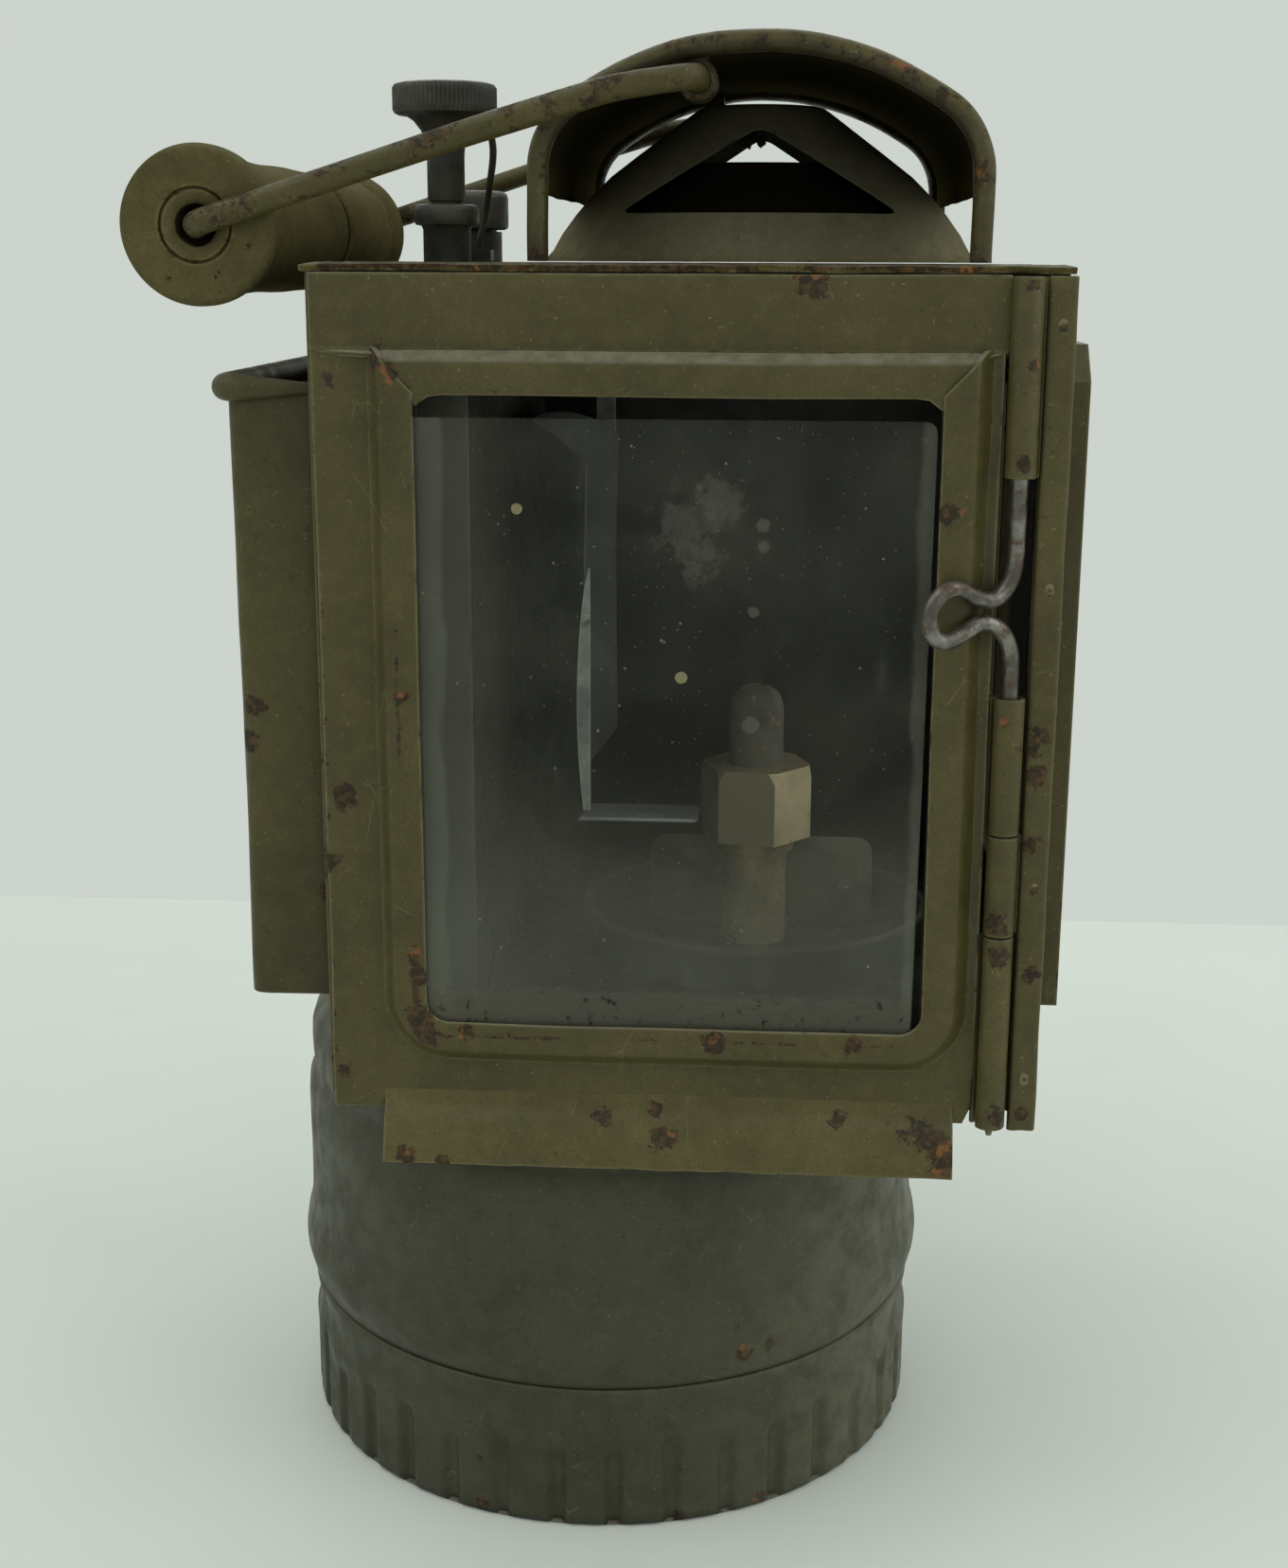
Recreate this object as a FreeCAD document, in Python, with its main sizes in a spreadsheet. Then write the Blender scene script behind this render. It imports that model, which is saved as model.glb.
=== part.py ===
"""Carbide lamp with a box head: +Z up, front towards -Y, origin under the middle of the base."""
import FreeCAD, Part
import Sketcher
import math
import os

Vector = FreeCAD.Vector
doc = FreeCAD.newDocument("carbide_lamp")
sheet = doc.addObject("Spreadsheet::Sheet", "sizes")


class Size:
    """A number together with the sheet expression that gives it."""

    def __init__(self, value, text):
        self.value = value
        self.text = text

    def __add__(self, other):
        other = as_size(other)
        return Size(self.value + other.value, f"({self.text} + {other.text})")

    def __sub__(self, other):
        other = as_size(other)
        return Size(self.value - other.value, f"({self.text} - {other.text})")

    def __mul__(self, other):
        other = as_size(other)
        return Size(self.value * other.value, f"({self.text} * {other.text})")

    def __truediv__(self, other):
        other = as_size(other)
        return Size(self.value / other.value, f"({self.text} / {other.text})")

    def __neg__(self):
        return Size(-self.value, f"(0 - {self.text})")


def as_size(number):
    """Turn a plain number into a Size."""
    return number if isinstance(number, Size) else Size(float(number), repr(float(number)))


# ---------------------------------------------------------------- driving dimensions (mm)
DIMENSIONS = {
    "sheet_gauge": 1.0, "running_gap": 0.05,
    # head box
    "head_left": -45.7, "head_right": 79.3, "head_front": -63.9, "head_rear": 65.4,
    "head_bottom": 88.3, "head_top": 233.3, "skirt_bottom": 86.2,
    "roof_gauge": 1.5, "floor_under": 98.0,
    # generator and carbide pot
    "pot_radius": 63.4, "pot_wall": 2.2, "pot_neck_radius": 62.6, "pot_top": 28.2,
    "spigot_radius": 59.0, "spigot_top": 40.0, "flute_radius": 2.3, "flute_depth": 1.1,
    "flute_top": 18.5, "flute_count": 36, "body_bottom": 29.2, "bead_radius": 65.1,
    "shoulder_radius": 62.4, "generator_top": 88.0, "generator_wall": 1.4,
    # door
    "door_front": -65.4, "door_gauge": 1.2, "door_left": -45.0, "door_right": 69.7,
    "door_bottom": 86.2, "door_top": 233.0, "pad_height": 3.2,
    "window_left": -27.4, "window_right": 59.5, "window_bottom": 103.8, "window_top": 213.3,
    "pad_left": -35.2, "pad_right": 65.0, "pad_bottom": 98.0, "pad_top": 219.6, "pad_slope": 2.3,
    "lip_left": -35.7, "lip_right": 66.1, "lip_reach": 4.6, "lip_drop": 9.8,
    "glass_gauge": 2.0,
    # hinge
    "hinge_x": 72.5, "hinge_y": -66.0, "knuckle_radius": 2.65, "hinge_pin_radius": 1.65,
    # burner
    "burner_x": 29.5, "tube_radius": 6.5, "collar_radius": 35.4, "nut_radius": 11.4,
    "mirror_radius": 50.3, "mirror_gauge": 0.8, "mirror_bottom": 125.3, "mirror_top": 205.0,
    # hood and chimney
    "hood_x": 28.8, "hood_half": 39.4, "hood_depth": 56.8, "hood_top": 272.5,
    "corner_radius": 16.0, "corner_z": 249.0, "crown_radius": 56.3,
    "rim_height": 5.2, "rim_depth": 3.5, "chimney_x": 28.5,
    # bail and grip
    "bail_x": 18.4, "bail_z": 263.9, "bail_wire": 2.15, "grip_x": -64.35, "grip_z": 240.4,
    "grip_radius": 13.2, "grip_half": 61.5, "bail_half": 64.2,
    # water side
    "valve_x": -32.0, "tank_left": -44.3, "tank_right": -19.8, "tank_front": -58.0,
    "tank_rear": 60.0, "tank_bottom": 99.3, "tank_top": 230.0, "filler_y": 38.0,
    # side pocket and side window
    "pocket_left": -61.6, "pocket_front": -56.4, "pocket_rear": 56.4, "pocket_bottom": 104.3,
    "pocket_top": 213.7, "rim_radius": 2.4, "guide_outer": 85.5, "guide_half": 50.0,
    "guide_bottom": 103.4, "guide_top": 221.4,
}


def fill_sheet():
    """Write every driving dimension into its own row, with its name as the alias."""
    for row, (name, number) in enumerate(DIMENSIONS.items(), start=1):
        sheet.set(f"A{row}", name)
        sheet.set(f"B{row}", repr(number))
        sheet.setAlias(f"B{row}", name)
    doc.recompute()


fill_sheet()
S = type("Sizes", (), {name: Size(number, f"sizes.{name}") for name, number in DIMENSIONS.items()})
SUB_PARTS = []


# ---------------------------------------------------------------- building helpers
def bind(thing, **sizes):
    """Bind properties of a document object to sheet expressions."""
    for name, size in sizes.items():
        thing.setExpression(name, as_size(size).text)


def place(thing, x=0, y=0, z=0):
    """Bind the position of an object."""
    thing.setExpression("Placement.Base.x", as_size(x).text)
    thing.setExpression("Placement.Base.y", as_size(y).text)
    thing.setExpression("Placement.Base.z", as_size(z).text)


def box(x0, x1, y0, y1, z0, z1):
    """A block between two corners."""
    block = doc.addObject("Part::Box", "block")
    bind(block, Length=as_size(x1) - x0, Width=as_size(y1) - y0, Height=as_size(z1) - z0)
    place(block, x0, y0, z0)
    return block


def post(x, y, z0, z1, radius):
    """An upright cylinder."""
    cylinder = doc.addObject("Part::Cylinder", "post")
    bind(cylinder, Radius=radius, Height=as_size(z1) - z0)
    place(cylinder, x, y, z0)
    return cylinder


def taper(x, y, z0, z1, radius0, radius1):
    """An upright cone frustum."""
    cone = doc.addObject("Part::Cone", "taper")
    bind(cone, Radius1=radius0, Radius2=radius1, Height=as_size(z1) - z0)
    place(cone, x, y, z0)
    return cone


def rod_along_y(x, z, y0, y1, radius):
    """A cylinder that lies along Y."""
    cylinder = doc.addObject("Part::Cylinder", "rod")
    cylinder.Placement = FreeCAD.Placement(Vector(0, 0, 0), FreeCAD.Rotation(Vector(1, 0, 0), -90))
    bind(cylinder, Radius=radius, Height=as_size(y1) - y0)
    place(cylinder, x, y0, z)
    return cylinder


def fuse(*pieces):
    """Join several objects."""
    joined = doc.addObject("Part::MultiFuse", "joined")
    joined.Shapes = list(pieces)
    return joined


def cut(base, *tools):
    """Take tools away from a base."""
    rest = doc.addObject("Part::Cut", "trimmed")
    rest.Base = base
    rest.Tool = tools[0] if len(tools) == 1 else fuse(*tools)
    return rest


def common(first, second):
    """Keep what two objects share."""
    shared = doc.addObject("Part::Common", "shared")
    shared.Base = first
    shared.Tool = second
    return shared


def origin_plane(body, role):
    """One of a body's own origin planes."""
    return next(item for item in body.Origin.OriginFeatures if item.Role == role)


def polygon_sketch(body, role, corners, offset=0):
    """A closed polygon whose corners are bound to the sheet."""
    sketch = body.newObject("Sketcher::SketchObject", "outline")
    sketch.AttachmentSupport = [(origin_plane(body, role), "")]
    sketch.MapMode = "FlatFace"
    sketch.setExpression("AttachmentOffset.Base.z", as_size(offset).text)
    points = [(as_size(across), as_size(up)) for across, up in corners]
    count = len(points)
    for index in range(count):
        start, end = points[index], points[(index + 1) % count]
        sketch.addGeometry(Part.LineSegment(Vector(start[0].value, start[1].value, 0),
                                            Vector(end[0].value, end[1].value, 0)), False)
    for index in range(count):
        sketch.addConstraint(Sketcher.Constraint("Coincident", index, 2, (index + 1) % count, 1))
    for index, (across, up) in enumerate(points):
        for kind, size in (("DistanceX", across), ("DistanceY", up)):
            number = sketch.addConstraint(Sketcher.Constraint(kind, -1, 1, index, 1, size.value))
            sketch.setExpression(f"Constraints[{number}]", size.text)
    return sketch


def circle_sketch(body, role, across, up, radius, offset=0):
    """A circle whose centre and radius are bound to the sheet."""
    across, up, radius = as_size(across), as_size(up), as_size(radius)
    sketch = body.newObject("Sketcher::SketchObject", "ring")
    sketch.AttachmentSupport = [(origin_plane(body, role), "")]
    sketch.MapMode = "FlatFace"
    sketch.setExpression("AttachmentOffset.Base.z", as_size(offset).text)
    centre = Vector(across.value, up.value, 0)
    sketch.addGeometry(Part.Circle(centre, Vector(0, 0, 1), radius.value), False)
    for kind, size in (("DistanceX", across), ("DistanceY", up)):
        number = sketch.addConstraint(Sketcher.Constraint(kind, -1, 1, 0, 3, size.value))
        sketch.setExpression(f"Constraints[{number}]", size.text)
    number = sketch.addConstraint(Sketcher.Constraint("Radius", 0, radius.value))
    sketch.setExpression(f"Constraints[{number}]", radius.text)
    return sketch


def new_body():
    """An empty PartDesign body."""
    return doc.addObject("PartDesign::Body", "solid")


def turned(profile, x=0, y=0):
    """A body turned about an upright axis from (radius, height) corners."""
    body = new_body()
    sketch = polygon_sketch(body, "XZ_Plane", profile)
    revolution = body.newObject("PartDesign::Revolution", "turned")
    revolution.Profile = sketch
    revolution.ReferenceAxis = (sketch, ["V_Axis"])
    revolution.Angle = 360
    sketch.Visibility = False
    place(body, x, y, 0)
    return body


def prism(role, corners, start, end):
    """A polygon on an origin plane, padded between two distances along the plane's normal."""
    body = new_body()
    sketch = polygon_sketch(body, role, corners, start)
    pad = body.newObject("PartDesign::Pad", "pad")
    pad.Profile = sketch
    bind(pad, Length=as_size(end) - start)
    return body


def front_prism(corners, y0, y1):
    """A polygon of (x, z) corners between two values of Y."""
    return prism("XZ_Plane", corners, -as_size(y1), -as_size(y0))


def rectangle(left, right, bottom, top):
    """Corners of a rectangle."""
    return [(left, bottom), (right, bottom), (right, top), (left, top)]


def bent_rod(points, radius, bends, closed=False):
    """A round wire through the points, with a tangent arc at each inner corner."""
    edges = []
    here = points[0]
    for index in range(1, len(points) - 1):
        corner = points[index]
        before = (points[index - 1] - corner).normalize()
        after = (points[index + 1] - corner).normalize()
        half_turn = (math.pi - before.getAngle(after)) / 2
        reach = bends[index - 1] * math.tan(half_turn)
        start, end = corner + before * reach, corner + after * reach
        middle = (before + after).normalize()
        sagitta = bends[index - 1] * (1 / math.cos(half_turn) - 1)
        edges.append(Part.LineSegment(here, start).toShape())
        edges.append(Part.Arc(start, corner + middle * sagitta, end).toShape())
        here = end
    edges.append(Part.LineSegment(here, points[-1]).toShape())
    spine = Part.Wire(edges)
    along = (points[1] - points[0]).normalize()
    section = Part.Wire(Part.Circle(points[0], along, radius).toShape())
    return spine.makePipeShell([section], True, True)


def finished(label, thing):
    """Name a sub-part and list it for export."""
    thing.Label = label
    SUB_PARTS.append(thing)
    return thing


def plain_shape(label, shape):
    """A sub-part made straight from a shape."""
    feature = doc.addObject("Part::Feature", "made")
    feature.Shape = shape
    feature.Placement = FreeCAD.Placement()
    return finished(label, feature)


def compound(pieces):
    """Several separate solids kept in one object."""
    group = doc.addObject("Part::Compound", "group")
    group.Links = list(pieces)
    return group


# ---------------------------------------------------------------- base: pot and generator
def carbide_pot():
    """The lower pot: fluted grip band, neck and a spigot with three bayonet lugs."""
    wall = S.pot_wall
    profile = [(0, 0), (S.pot_radius - 1.5, 0), (S.pot_radius, 1.5), (S.pot_radius, 19),
               (S.pot_neck_radius, 20.5), (S.pot_neck_radius, S.pot_top),
               (S.spigot_radius, S.pot_top), (S.spigot_radius, S.spigot_top),
               (S.spigot_radius - 1.2, S.spigot_top), (S.spigot_radius - 1.2, S.pot_top - 2),
               (S.pot_radius - wall, S.pot_top - 4), (S.pot_radius - wall, wall), (0, wall)]
    body = new_body()
    sketch = polygon_sketch(body, "XZ_Plane", profile)
    revolution = body.newObject("PartDesign::Revolution", "wall")
    revolution.Profile = sketch
    revolution.ReferenceAxis = (sketch, ["V_Axis"])
    revolution.Angle = 360
    doc.recompute()
    round_cut = circle_sketch(body, "XY_Plane", S.pot_radius + S.flute_radius - S.flute_depth, 0,
                              S.flute_radius, S.flute_top)
    pocket = body.newObject("PartDesign::Pocket", "flute")
    pocket.Profile = round_cut
    bind(pocket, Length=S.flute_top + 1)
    doc.recompute()
    pattern = body.newObject("PartDesign::PolarPattern", "flutes")
    pattern.Originals = [pocket]
    pattern.Axis = (round_cut, ["N_Axis"])
    pattern.Angle = 360
    pattern.Occurrences = int(S.flute_count.value)
    body.Tip = pattern
    doc.recompute()
    lugs = [bayonet_lug(turn) for turn in (0, 120, 240)]
    return finished("carbide_pot", fuse(body, *lugs))


def bayonet_lug(turn):
    """A short block on the spigot, ten degrees wide, at the given angle."""
    lug = box(S.spigot_radius - 0.6, S.spigot_radius + 2.2, -5, 5, 33.5, 35.5)
    holder = doc.addObject("Part::Feature", "lug")
    doc.recompute()
    holder.Shape = lug.Shape.copy().rotate(Vector(0, 0, 0), Vector(0, 0, 1), turn)
    return holder


def carbide_container():
    """The loose can that holds the carbide inside the pot."""
    floor = S.pot_wall + 0.3
    profile = [(0, floor), (52, floor), (52, 38), (51.2, 38), (51.2, floor + 0.8), (0, floor + 0.8)]
    finished("carbide_container", turned(profile))


def pot_gasket():
    """The rubber ring between pot and generator."""
    profile = [(59.3, S.pot_top + 0.1), (62.2, S.pot_top + 0.1),
               (62.2, S.body_bottom - 0.1), (59.3, S.body_bottom - 0.1)]
    finished("pot_gasket", turned(profile))


def generator_body():
    """The upper body of the generator: bead, straight wall, groove, shoulder and closed top."""
    wall = S.generator_wall
    rise = S.body_bottom
    outer = [(S.pot_neck_radius - 0.4, rise), (S.bead_radius - 0.9, rise + 3.3),
             (S.bead_radius, rise + 6.6), (S.bead_radius - 0.3, rise + 10.5), (S.pot_radius, 45.5),
             (S.pot_radius, 71), (S.pot_radius - 1.7, 74), (S.shoulder_radius, 77.5),
             (S.shoulder_radius, 83), (S.shoulder_radius - 1.4, 86.4),
             (S.shoulder_radius - 4.5, S.generator_top)]
    inner = [(radius - wall, height) for radius, height in reversed(outer[1:-1])]
    profile = [(0, S.generator_top)] + list(reversed(outer)) + [(59.4, rise), (59.4, rise + wall),
               (61.6, rise + wall)] + list(reversed(inner)) + [
               (S.shoulder_radius - 5.5, S.generator_top - wall), (0, S.generator_top - wall)]
    shell = turned(profile)
    notches = []
    for turn in (30, 150, 270):
        holder = doc.addObject("Part::Feature", "notch")
        block = Part.makeBox(4, 11.4, 3, Vector(57.6, -5.7, S.body_bottom.value - 0.8))
        holder.Shape = block.rotate(Vector(0, 0, 0), Vector(0, 0, 1), turn)
        notches.append(holder)
    gas_hole = post(S.burner_x, 0, 84, 90, S.tube_radius + 0.1)
    drip_hole = post(S.valve_x, 0, 84, 90, 2.6)
    finished("generator_body", cut(shell, gas_hole, drip_hole, *notches))


# ---------------------------------------------------------------- head box
def housing_shell():
    """The sheet-metal box: rear and side walls, bottom, front flanges and right-hand skirt."""
    gauge = S.sheet_gauge
    outer = box(S.head_left, S.head_right, S.head_front, S.head_rear, S.head_bottom, S.head_top)
    inner = box(S.head_left + gauge, S.head_right - gauge, S.head_front + gauge,
                S.head_rear - gauge, S.head_bottom + gauge, S.head_top + 1)
    mouth = box(S.head_left + 7.7, S.head_right - 3.7, S.head_front - 1, S.head_front + 2,
                S.head_bottom + 7.7, S.head_top - 7.3)
    side = box(S.head_right - 2, S.head_right + 1, -40, 40, S.guide_bottom + 10, S.guide_top - 10)
    gas_hole = post(S.burner_x, 0, S.head_bottom - 1, S.head_bottom + 2, S.tube_radius + 0.1)
    drip_hole = post(S.valve_x, 0, S.head_bottom - 1, S.head_bottom + 2, 2.6)
    relief = box(S.hinge_x - 3, S.hinge_x + 3, S.head_front - 1, S.head_front + 0.8,
                 S.head_bottom - 1, S.head_top + 1)
    skirt = box(S.head_right - gauge, S.head_right, S.head_front, S.head_rear, S.skirt_bottom,
                S.head_bottom)
    body = cut(outer, inner, mouth, side, gas_hole, drip_hole, relief)
    finished("housing_shell", fuse(body, skirt))


def roof_plate():
    """The flat roof with its turned edge and holes for chimney, valve and filler."""
    top = S.head_top + S.roof_gauge
    plate = box(S.head_left - 0.8, S.head_right + 0.9, -65.4, S.head_rear + 0.8, S.head_top, top)
    chimney = post(S.chimney_x, 0, S.head_top - 1, top + 1, 36)
    valve = post(S.valve_x, 0, S.head_top - 1, top + 1, 4.7)
    filler = post(S.valve_x, S.filler_y, S.head_top - 1, top + 1, 5.7)
    finished("roof_plate", cut(plate, chimney, valve, filler))


def floor_plate():
    """The raised floor of the lamp chamber."""
    plate = box(S.head_left + 1.1, S.head_right - 1.1, S.head_front + 1.1, S.head_rear - 1.1,
                S.floor_under, S.floor_under + 1)
    gas_hole = post(S.burner_x, 0, S.floor_under - 1, S.floor_under + 2, S.tube_radius + 0.1)
    seat_hole = post(S.valve_x, 0, S.floor_under - 1, S.floor_under + 2, 4.1)
    finished("floor_plate", cut(plate, gas_hole, seat_hole))


def collar_ring():
    """The round collar that stands on the floor about the burner."""
    low = S.floor_under + 1
    outer = post(S.burner_x, 0, low, low + 8.5, S.collar_radius)
    inner = post(S.burner_x, 0, low - 1, low + 10, S.collar_radius - 1.2)
    finished("collar_ring", cut(outer, inner))


# ---------------------------------------------------------------- door and hinge
def door_blank():
    """The pressed door sheet with its raised window frame and the glass recess behind it."""
    back = S.door_front + S.door_gauge
    face = S.door_front - S.pad_height
    sheet_plate = front_prism(rectangle(S.door_left, S.door_right, S.door_bottom, S.door_top),
                              S.door_front, back)
    pad = raised_pad(face)
    window = box(S.window_left, S.window_right, face - 1, back + 1, S.window_bottom, S.window_top)
    recess = box(S.pad_left + 3.7, S.pad_right - 3.7, face + 1.2, back + 1, S.pad_bottom + 3.2,
                 S.pad_top - 4.0)
    return cut(fuse(sheet_plate, pad), window, recess)


def raised_pad(face):
    """The raised frame about the window, with sloping outer sides."""
    slope = S.pad_slope
    outer = rectangle(S.pad_left, S.pad_right, S.pad_bottom, S.pad_top)
    inner = rectangle(S.pad_left + slope, S.pad_right - slope, S.pad_bottom + slope * 0.8,
                      S.pad_top - slope * 1.4)
    body = new_body()
    low = polygon_sketch(body, "XZ_Plane", outer, -S.door_front)
    high = polygon_sketch(body, "XZ_Plane", inner, -as_size(face))
    loft = body.newObject("PartDesign::AdditiveLoft", "raised")
    loft.Profile = low
    loft.Sections = [high]
    loft.Ruled = True
    return body


def knuckle(z0, z1):
    """A rolled hinge knuckle."""
    return post(S.hinge_x, S.hinge_y, z0, z1, S.knuckle_radius)


def pin_hole():
    """The bore through all knuckles."""
    return post(S.hinge_x, S.hinge_y, 80, 240, S.hinge_pin_radius + S.running_gap)


def door_parts():
    """The door frame with its lip and knuckles, and the separate top rail."""
    gap = 0.15
    back = S.door_front + S.door_gauge
    mitre = 7.5
    rail_low = S.window_top + mitre
    corners = [(S.door_left, S.door_top), (S.door_left, rail_low), (S.window_left - mitre, rail_low),
               (S.window_left, S.window_top), (S.window_left + 1, S.window_top - 1),
               (S.window_right - 1, S.window_top - 1), (S.window_right, S.window_top),
               (S.window_right + mitre, rail_low), (S.door_right, rail_low),
               (S.door_right, S.door_top)]
    top_zone = front_prism(corners, S.door_front - 10, back + 1)
    finished("door_top_rail", common(door_blank(), top_zone))
    lower = [(S.door_left - 1, S.door_bottom - 1), (S.door_right + 1, S.door_bottom - 1),
             (S.door_right + 1, rail_low - gap), (S.window_right + mitre + gap, rail_low - gap),
             (S.window_right - 2, S.window_top - 2 - gap), (S.window_left + 2, S.window_top - 2 - gap),
             (S.window_left - mitre - gap, rail_low - gap), (S.door_left - 1, rail_low - gap)]
    lower_zone = front_prism(lower, S.door_front - 10, back + 1)
    frame = common(door_blank(), lower_zone)
    lip_profile = [(back, S.door_bottom + 1.8), (S.door_front, S.door_bottom + 1.8),
                   (S.door_front, S.door_bottom + 1.1),
                   (S.door_front - S.lip_reach, S.door_bottom + 1.1 - S.lip_drop),
                   (S.door_front - S.lip_reach + 1.1, S.door_bottom + 0.6 - S.lip_drop),
                   (back, S.door_bottom + 0.3)]
    lip = prism("YZ_Plane", lip_profile, S.lip_left, S.lip_right)
    straps = [box(S.door_right - 0.5, S.hinge_x, S.door_front, back, low, high)
              for low, high in ((140.1, 163.8), (86.2, 121.7))]
    rings = [knuckle(140.1, 163.8), knuckle(86.2, 121.7)]
    finished("door_frame", cut(fuse(frame, lip, *straps, *rings), pin_hole()))


def door_glass():
    """The pane in the recess behind the raised frame."""
    face = S.door_front - S.pad_height + 1.3
    finished("door_glass", box(S.pad_left + 3.9, S.pad_right - 3.9, face, face + S.glass_gauge,
                               S.pad_bottom + 3.4, S.window_top - 3.6))


def glass_retainer():
    """The thin U-shaped frame that holds the pane from behind, open above."""
    front = S.door_front - S.pad_height + 1.4 + S.glass_gauge
    outer = box(S.pad_left + 3.9, S.pad_right - 3.9, front, front + 0.9, S.pad_bottom + 3.4,
                S.pad_top - 7)
    inner = box(S.window_left, S.window_right, front - 1, front + 2, S.window_bottom,
                S.pad_top)
    finished("glass_retainer", cut(outer, inner))


def hinge_leaf():
    """The fixed leaf on the housing, with the upper and the middle knuckle."""
    back = S.door_front + S.door_gauge
    leaf = box(75.6, S.head_right + 1.3, S.door_front, back, 85.2, 232.9)
    packer = box(76.2, S.head_right, back, S.head_front, 90, 230)
    straps = [box(S.hinge_x + 0.5, 76, S.door_front, back, low, high)
              for low, high in ((200.6, 232.9), (122.0, 139.8))]
    rings = [knuckle(200.6, 232.9), knuckle(122.0, 139.8)]
    finished("hinge_leaf", cut(fuse(leaf, packer, *straps, *rings), pin_hole()))


def hinge_pin():
    """The looped hinge pin, bent from one wire in an upright plane through the hinge axis."""
    lean = math.radians(29)
    away = Vector(-math.cos(lean), -math.sin(lean), 0)
    axis_point = Vector(S.hinge_x.value, S.hinge_y.value, 0)
    reach = 16.4

    def at(out, height):
        return axis_point + away * out + Vector(0, 0, height)

    points = [at(0, 232.6), at(0, 182.0), at(reach, 182.0), at(reach, 174.0), at(0, 174.0),
              at(0, 84.6)]
    plain_shape("hinge_pin", bent_rod(points, S.hinge_pin_radius.value, [3.0, 3.99, 3.99, 3.0]))


# ---------------------------------------------------------------- burner and reflector
def burner_parts():
    """Gas tube, flange, hexagon nut and burner tip, one above the other."""
    low, high = 60, 118.5
    tube = cut(post(S.burner_x, 0, low, high, S.tube_radius), post(S.burner_x, 0, low - 1, high + 1, 4.5))
    flange = cut(post(S.burner_x, 0, high, high + 2.5, 8), post(S.burner_x, 0, high - 1, high + 4, 4.5))
    finished("gas_tube", fuse(tube, flange))
    nut_low = high + 2.5
    prism_six = doc.addObject("Part::Prism", "hexagon")
    prism_six.Polygon = 6
    turn = FreeCAD.Rotation(Vector(0, 0, 1), -70)
    prism_six.Placement = FreeCAD.Placement(Vector(0, 0, 0), turn)
    bind(prism_six, Circumradius=S.nut_radius, Height=15)
    place(prism_six, S.burner_x, 0, nut_low)
    trim = taper(S.burner_x, 0, nut_low, nut_low + 15, S.nut_radius + 3.2, S.nut_radius - 0.6)
    bore = post(S.burner_x, 0, nut_low - 1, nut_low + 16, 3.5)
    finished("burner_nut", cut(common(prism_six, trim), bore))
    tip_low = nut_low + 15
    profile = [(1.2, tip_low), (5.5, tip_low), (5.5, tip_low + 11), (4.6, tip_low + 14.2),
               (2.9, tip_low + 16), (1.2, tip_low + 16)]
    finished("burner_tip", turned(profile, S.burner_x))


def wing_plate():
    """The folded plate behind the gas tube that carries the reflector foot."""
    low = S.floor_under + 1.2
    outline = [(7.5, low), (54, low), (54, 114.4), (52.8, 117.2), (50, 118.4), (11.5, 118.4),
               (8.7, 117.2), (7.5, 114.4)]
    finished("wing_plate", front_prism(outline, 7.2, 9.0))


def reflector():
    """The curved sheet beside the flame, open towards the side window, with its foot and hanger."""
    centre_x = S.tank_right + 1.1 + S.mirror_radius
    low, high = S.mirror_bottom, S.mirror_top
    half = 36
    front_edge = -3.4
    shell = cut(post(centre_x, 0, low, high, S.mirror_radius),
                post(centre_x, 0, low - 1, high + 1, S.mirror_radius - S.mirror_gauge))
    zone = box(S.tank_right, front_edge, -half, half, low, high)
    foot = box(S.tank_right + 1.5, S.burner_x - S.nut_radius - 0.2, -6, 6, low - 0.9, low)
    finished("reflector", fuse(common(shell, zone), foot))
    strap_left, strap_right, strap_back = -6.2, -2.2, half + 0.6
    strap = box(strap_left, strap_right, strap_back, strap_back + 1, low + 10, S.head_top - 0.1)
    tab = box(strap_left, strap_right, strap_back, strap_back + 14, S.head_top - 1.1, S.head_top - 0.1)
    finished("reflector_hanger", fuse(strap, tab))


# ---------------------------------------------------------------- chimney and hood
def chimney():
    """The cone over the flame with a rounded triangular window in front and one behind."""
    gauge = 0.9
    low = S.head_top + S.roof_gauge
    outer = [(40.9, low), (37.7, 240), (32.6, 246.4), (28.5, 250.4), (11.6, 263)]
    profile = outer + [(0, 263), (0, 263 - gauge), (11.3, 263 - gauge)] + [
        (radius - 1.2, height) for radius, height in reversed(outer[:-1])]
    shell = turned(profile, S.chimney_x)
    outline = [(-20, 245.4), (20, 245.4), (21, 246.4), (19, 248.2), (2.6, 257.2), (0, 258),
               (-2.6, 257.2), (-19, 248.2), (-21, 246.4)]
    window = front_prism(outline, -45, 45)
    place(window, S.chimney_x, 0, 0)
    finished("chimney_cone", cut(shell, window))


def chimney_baffle():
    """The open inner cone that shields the flame from wind blowing through the windows."""
    low, high = S.head_top + S.roof_gauge, 252.2
    outer = [(37.9, low), (34.4, 240), (29.3, 246.4), (25.2, 250.2), (23.2, high)]
    inner = [(radius - 1, height) for radius, height in reversed(outer)]
    finished("chimney_baffle", turned(outer + inner, S.chimney_x))


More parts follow.
